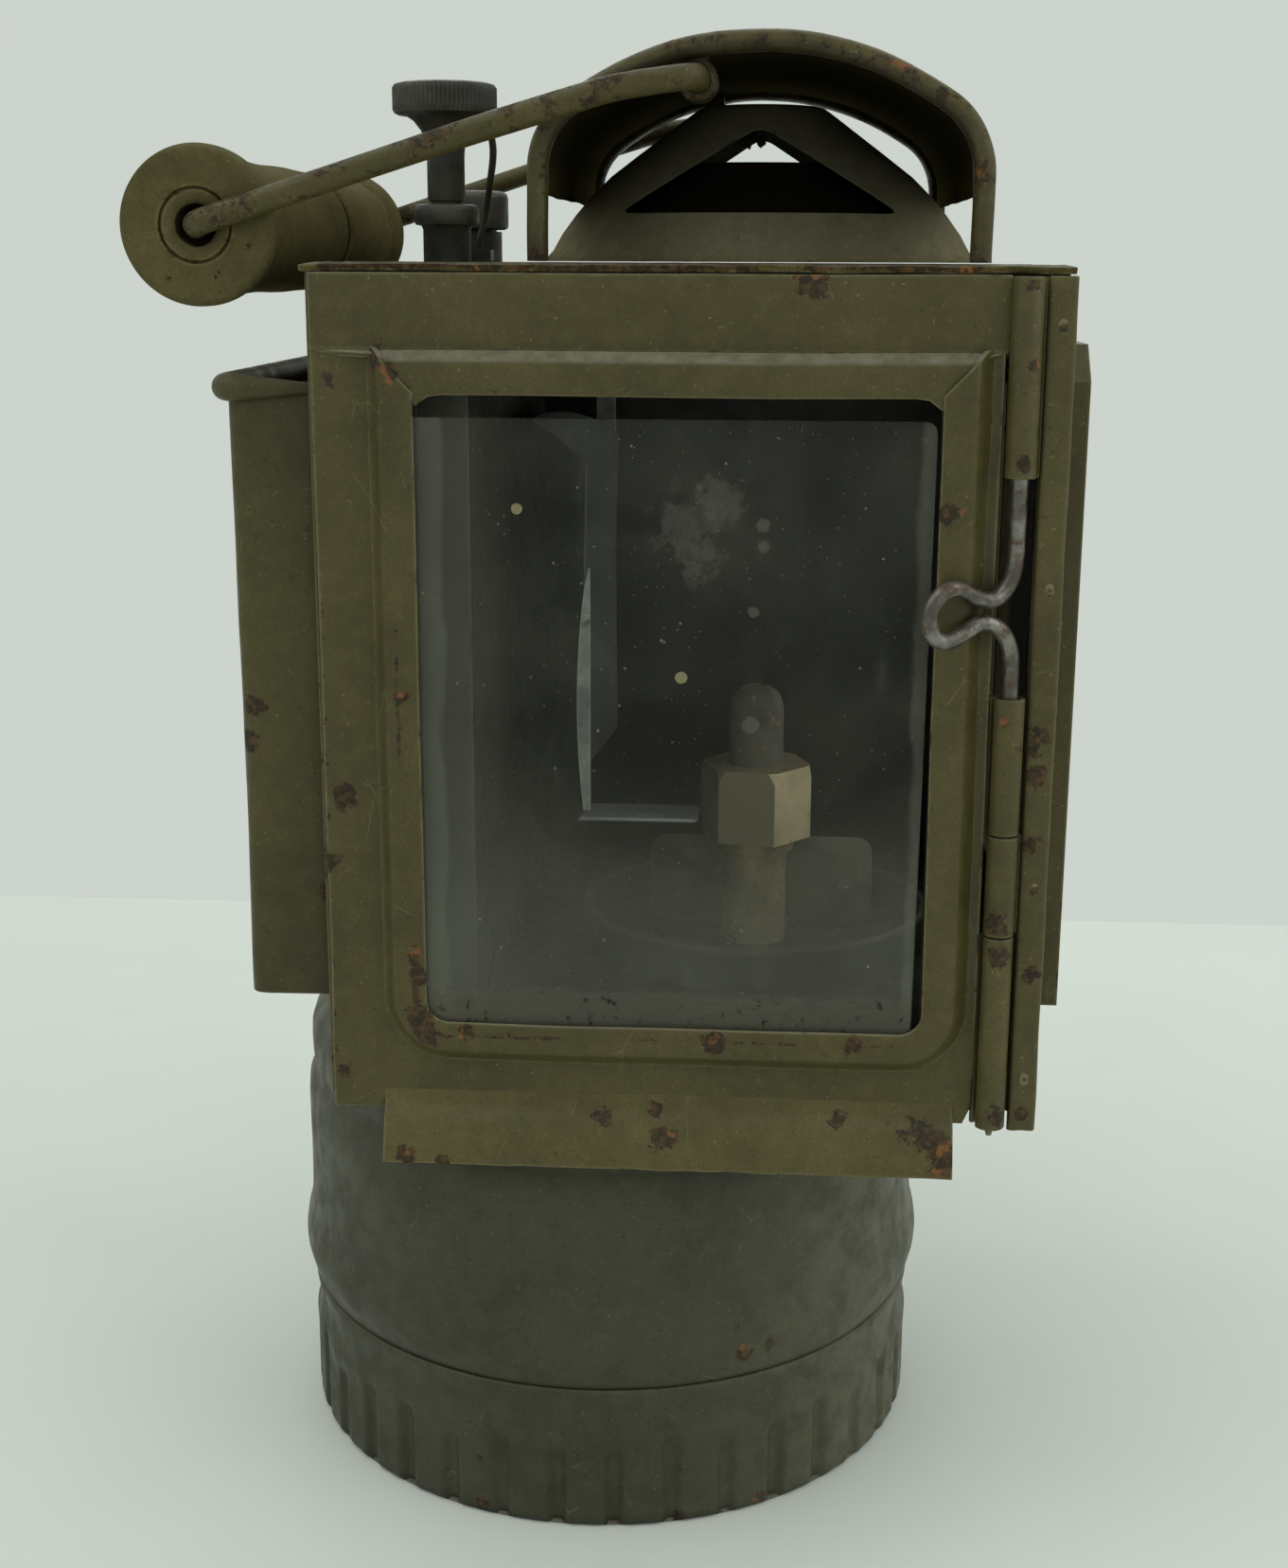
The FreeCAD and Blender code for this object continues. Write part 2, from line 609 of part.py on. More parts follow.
def arch_edges(inset, leg_bottom):
    """Edges of one arch line, from the left foot over the crown to the right foot."""
    half = S.hood_half.value - inset
    corner = S.corner_radius.value - inset
    crown = S.crown_radius.value - inset
    crown_z = S.hood_top.value - S.crown_radius.value
    corner_x = S.hood_half.value - S.corner_radius.value
    corner_z = S.corner_z.value
    slope = math.atan2(corner_x, corner_z - crown_z)
    join_x, join_z = crown * math.sin(slope), crown_z + crown * math.cos(slope)
    mid_angle = slope / 2 + math.pi / 4
    mid_x = corner_x + corner * math.sin(mid_angle)
    mid_z = corner_z + corner * math.cos(mid_angle)

    def at(x, z):
        return Vector(S.hood_x.value + x, 0, z)

    return [Part.LineSegment(at(-half, leg_bottom), at(-half, corner_z)).toShape(),
            Part.Arc(at(-half, corner_z), at(-mid_x, mid_z), at(-join_x, join_z)).toShape(),
            Part.Arc(at(-join_x, join_z), at(0, crown_z + crown), at(join_x, join_z)).toShape(),
            Part.Arc(at(join_x, join_z), at(mid_x, mid_z), at(half, corner_z)).toShape(),
            Part.LineSegment(at(half, corner_z), at(half, leg_bottom)).toShape()]


def arch_band(outset, inset, leg_bottom, y0, y1):
    """A band between two arch lines, from one value of Y to another."""
    outer = arch_edges(outset, leg_bottom)
    inner = arch_edges(inset, leg_bottom)
    foot_left = Part.LineSegment(outer[0].Vertexes[0].Point, inner[0].Vertexes[0].Point).toShape()
    foot_right = Part.LineSegment(outer[-1].Vertexes[-1].Point, inner[-1].Vertexes[-1].Point).toShape()
    wire = Part.Wire(Part.__sortEdges__(outer + inner + [foot_left, foot_right]))
    face = Part.Face(wire)
    face.translate(Vector(0, y0, 0))
    return face.extrude(Vector(0, y1 - y0, 0))


def hood_parts():
    """The arched cowl sheet and the two rolled end frames whose legs stand on the roof."""
    depth, rim = S.hood_depth.value, S.rim_depth.value
    foot = (S.head_top + S.roof_gauge).value
    inner_end = depth - rim
    plain_shape("cowl_sheet", arch_band(1.5, 2.5, 246, -inner_end, inner_end))
    for label, side in (("cowl_frame_front", -1), ("cowl_frame_rear", 1)):
        y0, y1 = sorted((side * depth, side * inner_end))
        plain_shape(label, arch_band(0, S.rim_height.value, foot, y0, y1))


def bail_sockets():
    """Two short tubes under the cowl that hold the ends of the bail."""
    sockets = []
    inner_end = S.hood_depth - S.rim_depth
    for side in (-1, 1):
        near, far = (-inner_end + 0.1, -44) if side < 0 else (44, inner_end - 0.1)
        tube = rod_along_y(S.bail_x, S.bail_z, near, far, 3.3)
        web = box(S.bail_x - 1.5, S.bail_x + 1.5, near, far, S.bail_z + 2, S.bail_z + 4.6)
        bore = rod_along_y(S.bail_x, S.bail_z, as_size(near) - 1, as_size(far) + 1,
                           S.bail_wire + S.running_gap)
        sockets.append(cut(fuse(tube, web), bore))
    finished("bail_sockets", compound(sockets))


# ---------------------------------------------------------------- bail and grip
def bail():
    """The carrying bail: one wire from socket to socket through the grip."""
    x, z, half = S.bail_x.value, S.bail_z.value, S.bail_half.value
    grip_x, grip_z = S.grip_x.value, S.grip_z.value
    start = 46.0
    shoulder = 61.3
    points = [Vector(x, -start, z), Vector(x, -shoulder, z), Vector(x - 13, -shoulder - 0.3, z - 1.8),
              Vector(grip_x, -half, grip_z), Vector(grip_x, half, grip_z),
              Vector(x - 13, shoulder + 0.3, z - 1.8), Vector(x, shoulder, z), Vector(x, start, z)]
    bends = [3.6, 14, 3.6, 3.6, 14, 3.6]
    plain_shape("bail", bent_rod(points, S.bail_wire.value, bends))


def grip():
    """The turned grip: two flanged ends, a barrel with a dark ring groove, and a bore."""
    half = S.grip_half
    rim = S.grip_radius
    barrel = rim - 1.7
    groove = 10
    profile = [(S.bail_wire + 0.1, -half + 3), (3.5, -half + 3), (3.5, -half), (rim - 1, -half),
               (rim, -half + 1), (rim, -half + 4.8), (barrel, -half + 6.6), (barrel, groove - 2.2),
               (barrel - 0.9, groove - 1.4), (barrel - 0.9, groove + 1.4), (barrel, groove + 2.2),
               (barrel, half - 6.6), (rim, half - 4.8), (rim, half - 1), (rim - 1, half),
               (3.5, half), (3.5, half - 3), (S.bail_wire + 0.1, half - 3)]
    body = turned(profile)
    body.Placement = FreeCAD.Placement(Vector(0, 0, 0), FreeCAD.Rotation(Vector(1, 0, 0), -90))
    place(body, S.grip_x, 0, S.grip_z)
    finished("grip", body)


# ---------------------------------------------------------------- water tank and valve
def water_tank():
    """The closed tank in the left part of the head."""
    gauge = 0.9
    outer = box(S.tank_left, S.tank_right, S.tank_front, S.tank_rear, S.tank_bottom, S.tank_top)
    inner = box(S.tank_left + gauge, S.tank_right - gauge, S.tank_front + gauge,
                S.tank_rear - gauge, S.tank_bottom + gauge, S.tank_top - gauge)
    seat = post(S.valve_x, 0, S.tank_bottom - 1, S.tank_bottom + 3, 4.1)
    gland = post(S.valve_x, 0, S.tank_top - 3, S.tank_top + 1, 4.7)
    filler = post(S.valve_x, S.filler_y, S.tank_top - 3, S.tank_top + 1, 5.7)
    finished("water_tank", cut(outer, inner, seat, gland, filler))


def valve_parts():
    """Seat, drip tube, needle, gland, and the knob with its hollow spindle."""
    seat = cut(post(S.valve_x, 0, 95, 104, 4), post(S.valve_x, 0, 94, 105, 0.8),
               post(S.valve_x, 0, 100.8, 105, 1.5))
    finished("valve_seat", seat)
    drip = cut(post(S.valve_x, 0, 50, 95, 2.5), post(S.valve_x, 0, 49, 96, 1.6))
    finished("drip_tube", drip)
    shank = post(S.valve_x, 0, 105, 248, 1.2)
    finished("valve_needle", fuse(shank, taper(S.valve_x, 0, 101.1, 105, 0.4, 1.2)))
    gland = fuse(post(S.valve_x, 0, 228.5, 241.4, 4.6), post(S.valve_x, 0, 241.4, 245.3, 6.3))
    finished("valve_gland", cut(gland, post(S.valve_x, 0, 227, 247, 3.0 + S.running_gap.value)))
    profile = [(1.3, 229.5), (3.0, 229.5), (3.0, 245.8), (3.6, 245.8), (3.6, 256), (4.4, 259),
               (6.6, 261.6), (9.4, 261.6), (10, 262.3), (10, 267.1), (9.4, 267.8), (0, 267.8),
               (0, 248.6), (1.3, 248.6)]
    finished("valve_knob", turned(profile, S.valve_x))


def detent_spring():
    """The bent wire beside the gland that presses on the knob from below."""
    x = S.valve_x.value
    points = [Vector(x + 4, 13, 237.3), Vector(x + 5.8, 13, 244), Vector(x + 8.2, 9, 255),
              Vector(x + 7.6, 5.6, 260.7)]
    plain_shape("detent_spring", bent_rod(points, 0.7, [4, 6]))
    finished("spring_block", box(S.valve_x - 3, S.valve_x + 7, 10.5, 15.5, 234.8, 236.9))


def filler_parts():
    """Filler neck on the tank and its push-on cap."""
    neck = cut(post(S.valve_x, S.filler_y, 228.5, 240.7, 5.6),
               post(S.valve_x, S.filler_y, 227, 242, 4.6))
    finished("filler_neck", neck)
    plug = fuse(post(S.valve_x, S.filler_y, 241.0, 249, 7.0),
                post(S.valve_x, S.filler_y, 234.5, 241.0, 4.5))
    finished("filler_cap", plug)


# ---------------------------------------------------------------- side pocket and side window
def side_pocket():
    """The open-topped pocket on the left wall with a rolled rim."""
    gauge = S.sheet_gauge
    right = S.head_left - 0.05
    outer = box(S.pocket_left, right, S.pocket_front, S.pocket_rear, S.pocket_bottom, S.pocket_top)
    inner = box(S.pocket_left + gauge, right + 1, S.pocket_front + gauge, S.pocket_rear - gauge,
                S.pocket_bottom + gauge, S.pocket_top + 5)
    x, y, z = S.pocket_left.value - 0.8, S.pocket_rear.value + 0.8, S.pocket_top.value
    stop = S.head_left.value - 0.1
    rim = doc.addObject("Part::Feature", "rolled_rim")
    rim.Shape = bent_rod([Vector(stop, -y, z), Vector(x, -y, z), Vector(x, y, z), Vector(stop, y, z)],
                         S.rim_radius.value, [4, 4])
    finished("side_pocket", fuse(cut(outer, inner), rim))


def side_window():
    """The glazed guide frame on the right wall, with clipped top corners."""
    left, right = S.head_right + 0.1, S.guide_outer
    half, low, high = S.guide_half, S.guide_bottom, S.guide_top
    clip = 6
    outline = [(-half, low), (half, low), (half, high - clip), (half - clip, high),
               (-half + clip, high), (-half, high - clip)]
    plate = prism("YZ_Plane", outline, left, right)
    opening = box(left - 1, right + 1, -half + 10, half - 10, low + 10, high - 10)
    slot = box(left + 1.4, left + 3.8, -half + 5, half - 5, low + 5, high - 5)
    finished("side_window_frame", cut(plate, opening, slot))
    finished("side_glass", box(left + 1.6, left + 3.6, -half + 5.2, half - 5.2, low + 5.2, high - 5.2))


def rivets():
    """Rivet heads that fix the hinge leaf and the side frame."""
    heads = []
    for height in (95, 130, 182, 225):
        head = doc.addObject("Part::Cylinder", "rivet")
        head.Placement = FreeCAD.Placement(Vector(0, 0, 0), FreeCAD.Rotation(Vector(1, 0, 0), 90))
        bind(head, Radius=1.3, Height=0.7)
        place(head, S.head_right - 0.9, S.door_front, height)
        heads.append(head)
    finished("hinge_rivets", compound(heads))


def build():
    """Make every sub-part."""
    carbide_pot()
    carbide_container()
    pot_gasket()
    generator_body()
    housing_shell()
    roof_plate()
    floor_plate()
    collar_ring()
    door_parts()
    door_glass()
    glass_retainer()
    hinge_leaf()
    hinge_pin()
    burner_parts()
    wing_plate()
    reflector()
    chimney()
    chimney_baffle()
    hood_parts()
    bail_sockets()
    bail()
    grip()
    water_tank()
    valve_parts()
    detent_spring()
    filler_parts()
    side_pocket()
    side_window()
    rivets()
    doc.recompute()


def check():
    """Stop if any object failed or any sub-part has no valid shape."""
    for thing in doc.Objects:
        if "Invalid" in thing.State or "Error" in thing.State:
            raise RuntimeError(f"{thing.Name} ({thing.Label}) failed: {thing.State}")
    for thing in SUB_PARTS:
        if thing.Shape.isNull() or not thing.Shape.isValid() or not thing.Shape.Solids:
            raise RuntimeError(f"{thing.Label} has no valid solid")


def export():
    """Write one file for each sub-part."""
    os.makedirs("parts", exist_ok=True)
    for thing in SUB_PARTS:
        thing.Shape.exportStep(f"parts/{thing.Label}.step")
        box_of = thing.Shape.BoundBox
        print(f"{thing.Label}: {len(thing.Shape.Solids)} solid(s), {thing.Shape.Volume:.0f} mm3, "
              f"x {box_of.XMin:.1f} {box_of.XMax:.1f} y {box_of.YMin:.1f} {box_of.YMax:.1f} "
              f"z {box_of.ZMin:.1f} {box_of.ZMax:.1f}")


build()
check()
export()
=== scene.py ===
import math
import random

import bmesh
import bpy
from mathutils import Matrix, Vector, noise


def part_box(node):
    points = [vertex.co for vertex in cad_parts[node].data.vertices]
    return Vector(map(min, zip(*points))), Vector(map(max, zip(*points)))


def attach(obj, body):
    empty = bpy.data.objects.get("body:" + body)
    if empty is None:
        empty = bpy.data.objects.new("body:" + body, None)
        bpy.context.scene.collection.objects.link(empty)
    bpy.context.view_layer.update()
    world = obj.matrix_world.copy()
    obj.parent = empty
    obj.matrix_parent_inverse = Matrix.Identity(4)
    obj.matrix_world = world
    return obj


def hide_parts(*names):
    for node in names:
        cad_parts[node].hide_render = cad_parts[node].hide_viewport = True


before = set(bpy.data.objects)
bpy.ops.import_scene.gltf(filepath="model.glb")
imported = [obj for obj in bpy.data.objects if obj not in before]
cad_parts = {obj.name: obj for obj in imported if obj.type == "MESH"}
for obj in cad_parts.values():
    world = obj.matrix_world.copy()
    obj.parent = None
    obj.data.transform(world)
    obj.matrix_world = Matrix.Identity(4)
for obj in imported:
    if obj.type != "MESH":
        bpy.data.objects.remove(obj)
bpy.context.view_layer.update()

MM = 0.001
TURN = 2 * math.pi
CUT_EDGE = 0.18
SHEET_GAUGE = 1.0
PANE_FACE = -67.3
CHIMNEY_X = 28.5
noise.seed_set(3)  # fixes the dents, which would differ from run to run


# ------------------------------------------------------------------ places taken from the frame
def span(node):
    """Lowest and highest corner of a CAD node, in millimetres."""
    low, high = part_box(node)
    return Vector(low) / MM, Vector(high) / MM


DOOR_LOW = span("door_frame")[0]
GLASS_LOW, GLASS_HIGH = span("door_glass")
ROOF_LOW, ROOF_HIGH = span("roof_plate")
POT_HIGH = span("carbide_pot")[1]
BODY_HIGH = span("generator_body")[1]
FRONT_LOW, FRONT_HIGH = span("cowl_frame_front")
REAR_LOW, REAR_HIGH = span("cowl_frame_rear")
COWL_LOW, COWL_HIGH = span("cowl_sheet")
CONE_LOW = span("chimney_cone")[0]
GRIP_LOW, GRIP_HIGH = span("grip")
KNOB_LOW, KNOB_HIGH = span("valve_knob")
CAP_LOW, CAP_HIGH = span("filler_cap")
NUT_LOW, NUT_HIGH = span("burner_nut")
TIP_LOW = span("burner_tip")[0]
WING_LOW, WING_HIGH = span("wing_plate")
MIRROR_LOW, MIRROR_HIGH = span("reflector")
WELD_LOW, WELD_HIGH = span("hinge_rivets")
COLLAR_LOW, COLLAR_HIGH = span("collar_ring")
POCKET_LOW, POCKET_HIGH = span("side_pocket")
HEAD_LOW = span("housing_shell")[0]


# ------------------------------------------------------------------ mesh helpers
def linked(name, data):
    """An object for some data, put into the scene."""
    made = bpy.data.objects.new(name, data)
    bpy.context.scene.collection.objects.link(made)
    return made


def piece(name, verts, faces, body, material, replaces=(), smooth=35.0):
    """Make a mesh object from millimetre vertices and hang it on a CAD body."""
    mesh = bpy.data.meshes.new(name)
    mesh.from_pydata([tuple(Vector(v) * MM) for v in verts], [], faces)
    mesh.update()
    clean(mesh)
    made = linked(name, mesh)
    mesh.materials.append(material)
    shade(mesh, smooth)
    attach(made, body)
    if replaces:
        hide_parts(*replaces)
    return made


def clean(mesh):
    """Merge doubled vertices and turn the faces outwards."""
    work = bmesh.new()
    work.from_mesh(mesh)
    bmesh.ops.remove_doubles(work, verts=work.verts, dist=1e-7)
    bmesh.ops.recalc_face_normals(work, faces=work.faces)
    work.to_mesh(mesh)
    work.free()


def shade(mesh, degrees):
    """Shade smooth, with edges sharper than the angle left sharp."""
    mesh.shade_smooth()
    mesh.set_sharp_from_angle(angle=math.radians(degrees))


def applied(thing, smooth=35.0):
    """Turn an object's modifiers into its mesh."""
    graph = bpy.context.evaluated_depsgraph_get()
    graph.update()
    mesh = bpy.data.meshes.new_from_object(thing.evaluated_get(graph))
    thing.modifiers.clear()
    thing.data = mesh
    shade(mesh, smooth)
    return thing


def thicken(thing, gauge, offset=-1.0):
    """Give a sheet its thickness and soften its cut edges."""
    solid = thing.modifiers.new("gauge", "SOLIDIFY")
    solid.thickness = gauge * MM
    solid.offset = offset
    soften(thing, CUT_EDGE)
    return applied(thing)


def soften(thing, width, angle=38.0):
    """A small bevel on every sharp edge."""
    bevel = thing.modifiers.new("edge", "BEVEL")
    bevel.width = width * MM
    bevel.segments = 2
    bevel.limit_method = "ANGLE"
    bevel.angle_limit = math.radians(angle)
    bevel.use_clamp_overlap = True
    return thing


def carve(thing, tool):
    """Cut one mesh out of another and drop the tool."""
    cutter = thing.modifiers.new("cut", "BOOLEAN")
    cutter.operation = "DIFFERENCE"
    cutter.solver = "EXACT"
    cutter.object = tool
    applied(thing)
    bpy.data.objects.remove(tool)
    return thing


def raw_object(name, verts, faces):
    """A mesh used only as a cutting tool."""
    mesh = bpy.data.meshes.new(name)
    mesh.from_pydata([tuple(Vector(v) * MM) for v in verts], [], faces)
    clean(mesh)
    return linked(name, mesh)


def grid_faces(rows, columns, wrap=False):
    """Quads between rows of vertices."""
    faces = []
    last = columns if wrap else columns - 1
    for row in range(rows - 1):
        for column in range(last):
            beside = (column + 1) % columns
            faces.append((row * columns + column, row * columns + beside,
                          (row + 1) * columns + beside, (row + 1) * columns + column))
    return faces


def lathe(profile, steps, centre=(0, 0), radius_at=None):
    """Turn (radius, height) points about an upright axis."""
    verts = []
    for radius, height in profile:
        for step in range(steps):
            angle = TURN * step / steps
            reach = radius_at(radius, height, angle) if radius_at else radius
            verts.append((centre[0] + reach * math.cos(angle), centre[1] + reach * math.sin(angle), height))
    faces = grid_faces(len(profile), steps, wrap=True)
    last = (len(profile) - 1) * steps
    for step in range(steps):
        beside = (step + 1) % steps
        faces.append((last + step, last + beside, beside, step))
    return verts, faces


def lathe_lying(profile, steps, centre):
    """Turn (radius, depth) points about an axis that runs from front to back."""
    verts, faces = lathe(profile, steps)
    return [(centre.x + a, centre.y + along, centre.z + b) for a, b, along in verts], faces


def rounded(points, radius, steps=4, closed=False):
    """Replace each corner of a plane or space polyline by a small arc."""
    points = [Vector(p) for p in points]
    count = len(points)
    made = []
    for index, corner in enumerate(points):
        if not closed and index in (0, count - 1):
            made.append(corner)
            continue
        before = points[index - 1] - corner
        after = points[(index + 1) % count] - corner
        reach = min(radius, before.length * 0.45, after.length * 0.45)
        start, end = corner + before.normalized() * reach, corner + after.normalized() * reach
        for step in range(steps + 1):
            share = step / steps
            made.append(start.lerp(corner, share).lerp(corner.lerp(end, share), share))
    return made


def smooth_path(points, steps=8):
    """A Catmull-Rom curve through the points."""
    points = [Vector(p) for p in points]
    ends = [points[0] * 2 - points[1]] + points + [points[-1] * 2 - points[-2]]
    made = []
    for index in range(1, len(ends) - 2):
        a, b, c, d = ends[index - 1:index + 3]
        for step in range(steps):
            t = step / steps
            made.append(0.5 * (2 * b + (c - a) * t + (2 * a - 5 * b + 4 * c - d) * t * t
                               + (3 * b - a - 3 * c + d) * t * t * t))
    made.append(points[-1])
    return made


def sweep(path, section_at, up=Vector((0, 0, 1))):
    """Carry a closed section along a path; the section has (side, up) points."""
    verts = []
    count = len(path)
    side_before = None
    for index, point in enumerate(path):
        ahead = (path[min(index + 1, count - 1)] - path[max(index - 1, 0)]).normalized()
        side = ahead.cross(up)
        if side.length < 1e-3:
            side = side_before or Vector((1, 0, 0))
        if side_before is not None:
            side = side_before - ahead * side_before.dot(ahead)
        side.normalize()
        side_before = side
        over = side.cross(ahead).normalized()
        section = section_at(index / (count - 1))
        verts += [point + side * across + over * rise for across, rise in section]
    ring = len(section_at(0.0))
    faces = grid_faces(count, ring, wrap=True)
    faces.append(tuple(range(ring)))
    faces.append(tuple(range((count - 1) * ring, count * ring)))
    return verts, faces


def circle(radius, steps=16):
    """Section points of a round wire."""
    return [(radius * math.cos(TURN * k / steps), radius * math.sin(TURN * k / steps))
            for k in range(steps)]


def wire(path, radius, uneven=0.0, steps=16):
    """A round wire with rounded ends and a slightly uneven thickness."""
    def section(share):
        near_end = min(share, 1 - share) * len(path)
        end = math.sqrt(max(0.0, 1 - (1 - min(near_end / 2.0, 1.0)) ** 2)) if near_end < 2 else 1.0
        wobble = 1 + uneven * noise.noise(Vector((share * 9.0, radius, 0)))
        return circle(radius * (0.35 + 0.65 * end) * wobble, steps)
    return sweep(path, section)


def extrude_outline(outline, low, high, axis="Z"):
    """A closed outline given in two axes, carried along the third."""
    count = len(outline)
    verts = []
    for level in (low, high):
        for a, b in outline:
            verts.append((a, b, level) if axis == "Z" else (a, level, b))
    faces = grid_faces(2, count, wrap=True)
    faces += [tuple(range(count)), tuple(range(count, 2 * count))]
    return verts, faces


def dented(verts, amount, size, seed=0.0, weight=None):
    """Move vertices a little by smooth noise, for the unevenness of old sheet."""
    moved = []
    for vert in verts:
        point = Vector(vert)
        share = weight(point) if weight else 1.0
        moved.append(point + noise.noise_vector(point / size + Vector((seed, seed, seed))) * amount * share)
    return moved


# ------------------------------------------------------------------ material helpers
class Nodes:
    """Short names for the shader nodes of one material."""

    def __init__(self, name):
        self.material = bpy.data.materials.new(name)
        self.material.use_nodes = True
        self.tree = self.material.node_tree
        self.shader = self.tree.nodes["Principled BSDF"]
        self.place = self.new("ShaderNodeTexCoord").outputs["Object"]

    def new(self, kind, **settings):
        node = self.tree.nodes.new(kind)
        for name, value in settings.items():
            setattr(node, name, value)
        return node

    def link(self, source, target):
        if hasattr(source, "is_linked"):
            self.tree.links.new(source, target)
        else:
            target.default_value = source

    def moved(self, stretch=(1, 1, 1), shift=(0, 0, 0)):
        node = self.new("ShaderNodeMapping")
        node.inputs["Scale"].default_value = stretch
        node.inputs["Location"].default_value = shift
        self.link(self.place, node.inputs["Vector"])
        return node.outputs["Vector"]

    def noise(self, size, detail=3.0, rough=0.55, warp=0.0, vector=None):
        """Smooth noise whose features are about `size` millimetres."""
        node = self.new("ShaderNodeTexNoise")
        node.inputs["Scale"].default_value = 1 / (size * MM)
        node.inputs["Detail"].default_value = detail
        node.inputs["Roughness"].default_value = rough
        node.inputs["Distortion"].default_value = warp
        self.link(vector or self.place, node.inputs["Vector"])
        return node.outputs["Fac"]

    def cells(self, size, feature="F1", vector=None):
        node = self.new("ShaderNodeTexVoronoi", feature=feature)
        node.inputs["Scale"].default_value = 1 / (size * MM)
        self.link(vector or self.place, node.inputs["Vector"])
        return node.outputs["Distance"]

    def step(self, value, low, high, out_low=0.0, out_high=1.0):
        """Smooth step of a value between two levels."""
        node = self.new("ShaderNodeMapRange", interpolation_type="SMOOTHSTEP")
        for name, number in (("From Min", low), ("From Max", high), ("To Min", out_low),
                             ("To Max", out_high)):
            node.inputs[name].default_value = number
        self.link(value, node.inputs["Value"])
        return node.outputs["Result"]

    def math(self, kind, first, second=0.0):
        node = self.new("ShaderNodeMath", operation=kind)
        self.link(first, node.inputs[0])
        self.link(second, node.inputs[1])
        return node.outputs[0]

    def mix(self, share, first, second):
        """Blend two colours."""
        node = self.new("ShaderNodeMix", data_type="RGBA")
        self.link(share, node.inputs["Factor"])
        for value, socket in ((first, node.inputs[6]), (second, node.inputs[7])):
            self.link(tuple(value) + (1,) if isinstance(value, tuple) else value, socket)
        return node.outputs[2]

    def edges(self, radius):
        """How near a point is to an edge: 0 on flat faces, towards 1 on edges."""
        bevel = self.new("ShaderNodeBevel", samples=6)
        bevel.inputs["Radius"].default_value = radius * MM
        plain = self.new("ShaderNodeNewGeometry")
        dot = self.new("ShaderNodeVectorMath", operation="DOT_PRODUCT")
        self.link(bevel.outputs["Normal"], dot.inputs[0])
        self.link(plain.outputs["Normal"], dot.inputs[1])
        return self.math("SUBTRACT", 1.0, dot.outputs["Value"])

    def creases(self, distance):
        """How open a point is to its surroundings: 1 in the open, less in corners."""
        node = self.new("ShaderNodeAmbientOcclusion", samples=6)
        node.inputs["Distance"].default_value = distance * MM
        return node.outputs["AO"]

    def upward(self):
        """The upward part of the surface direction."""
        split = self.new("ShaderNodeSeparateXYZ")
        self.link(self.new("ShaderNodeNewGeometry").outputs["Normal"], split.inputs[0])
        return split.outputs["Z"]

    def spots(self, marks, ragged=4.2, size=3.4):
        """Ragged patches about chosen places: (x, y, z, radius) in millimetres."""
        total = 0.0
        rough = self.math("MULTIPLY", self.math("SUBTRACT", self.noise(size, 6.0, 0.75), 0.5), ragged)
        for x, y, z, radius in marks:
            gap = self.new("ShaderNodeVectorMath", operation="DISTANCE")
            self.link(self.place, gap.inputs[0])
            gap.inputs[1].default_value = (x * MM, y * MM, z * MM)
            near = self.math("DIVIDE", gap.outputs["Value"], radius * MM)
            mark = self.step(self.math("ADD", near, rough), 1.0, 0.9)
            total = self.math("MAXIMUM", mark, total)
        return total

    def strips(self, boxes, ragged=5.0, size=2.4):
        """Ragged bands, each given as (x low, x high, z low, z high) in millimetres."""
        rough = self.math("MULTIPLY", self.math("SUBTRACT", self.noise(size, 7.0, 0.8), 0.5), ragged)
        across = self.math("MULTIPLY", self.axis("X"), 1000.0)
        rise = self.math("MULTIPLY", self.axis("Z"), 1000.0)
        total = 0.0
        for left, right, bottom, top in boxes:
            sideways = self.math("MINIMUM", self.math("SUBTRACT", across, left),
                                 self.math("SUBTRACT", right, across))
            upward = self.math("MINIMUM", self.math("SUBTRACT", rise, bottom),
                               self.math("SUBTRACT", top, rise))
            inside = self.math("ADD", self.math("MINIMUM", sideways, upward), rough)
            total = self.math("MAXIMUM", self.step(inside, 0.55, 0.8), total)
        return total

    def axis(self, name):
        """One coordinate of the surface point, in metres."""
        split = self.new("ShaderNodeSeparateXYZ")
        self.link(self.place, split.inputs[0])
        return split.outputs[name]

    def within(self, low, high):
        """1 inside a box given in millimetres, 0 outside it."""
        total = 1.0
        for name, start, end in zip("XYZ", low, high):
            value = self.axis(name)
            inner = self.math("MULTIPLY", self.math("GREATER_THAN", value, start * MM),
                              self.math("LESS_THAN", value, end * MM))
            total = self.math("MULTIPLY", inner, total)
        return total

    def bump(self, height, distance, strength=1.0, below=None):
        node = self.new("ShaderNodeBump")
        node.inputs["Strength"].default_value = strength
        node.inputs["Distance"].default_value = distance * MM
        self.link(height, node.inputs["Height"])
        if below is not None:
            self.link(below, node.inputs["Normal"])
        return node.outputs["Normal"]

    def finish(self, colour, rough, normal=None, metal=0.0, specular=0.5):
        self.link(colour, self.shader.inputs["Base Color"])
        self.link(rough, self.shader.inputs["Roughness"])
        self.shader.inputs["Specular IOR Level"].default_value = specular
        self.link(metal, self.shader.inputs["Metallic"])
        if normal is not None:
            self.link(normal, self.shader.inputs["Normal"])
        return self.material


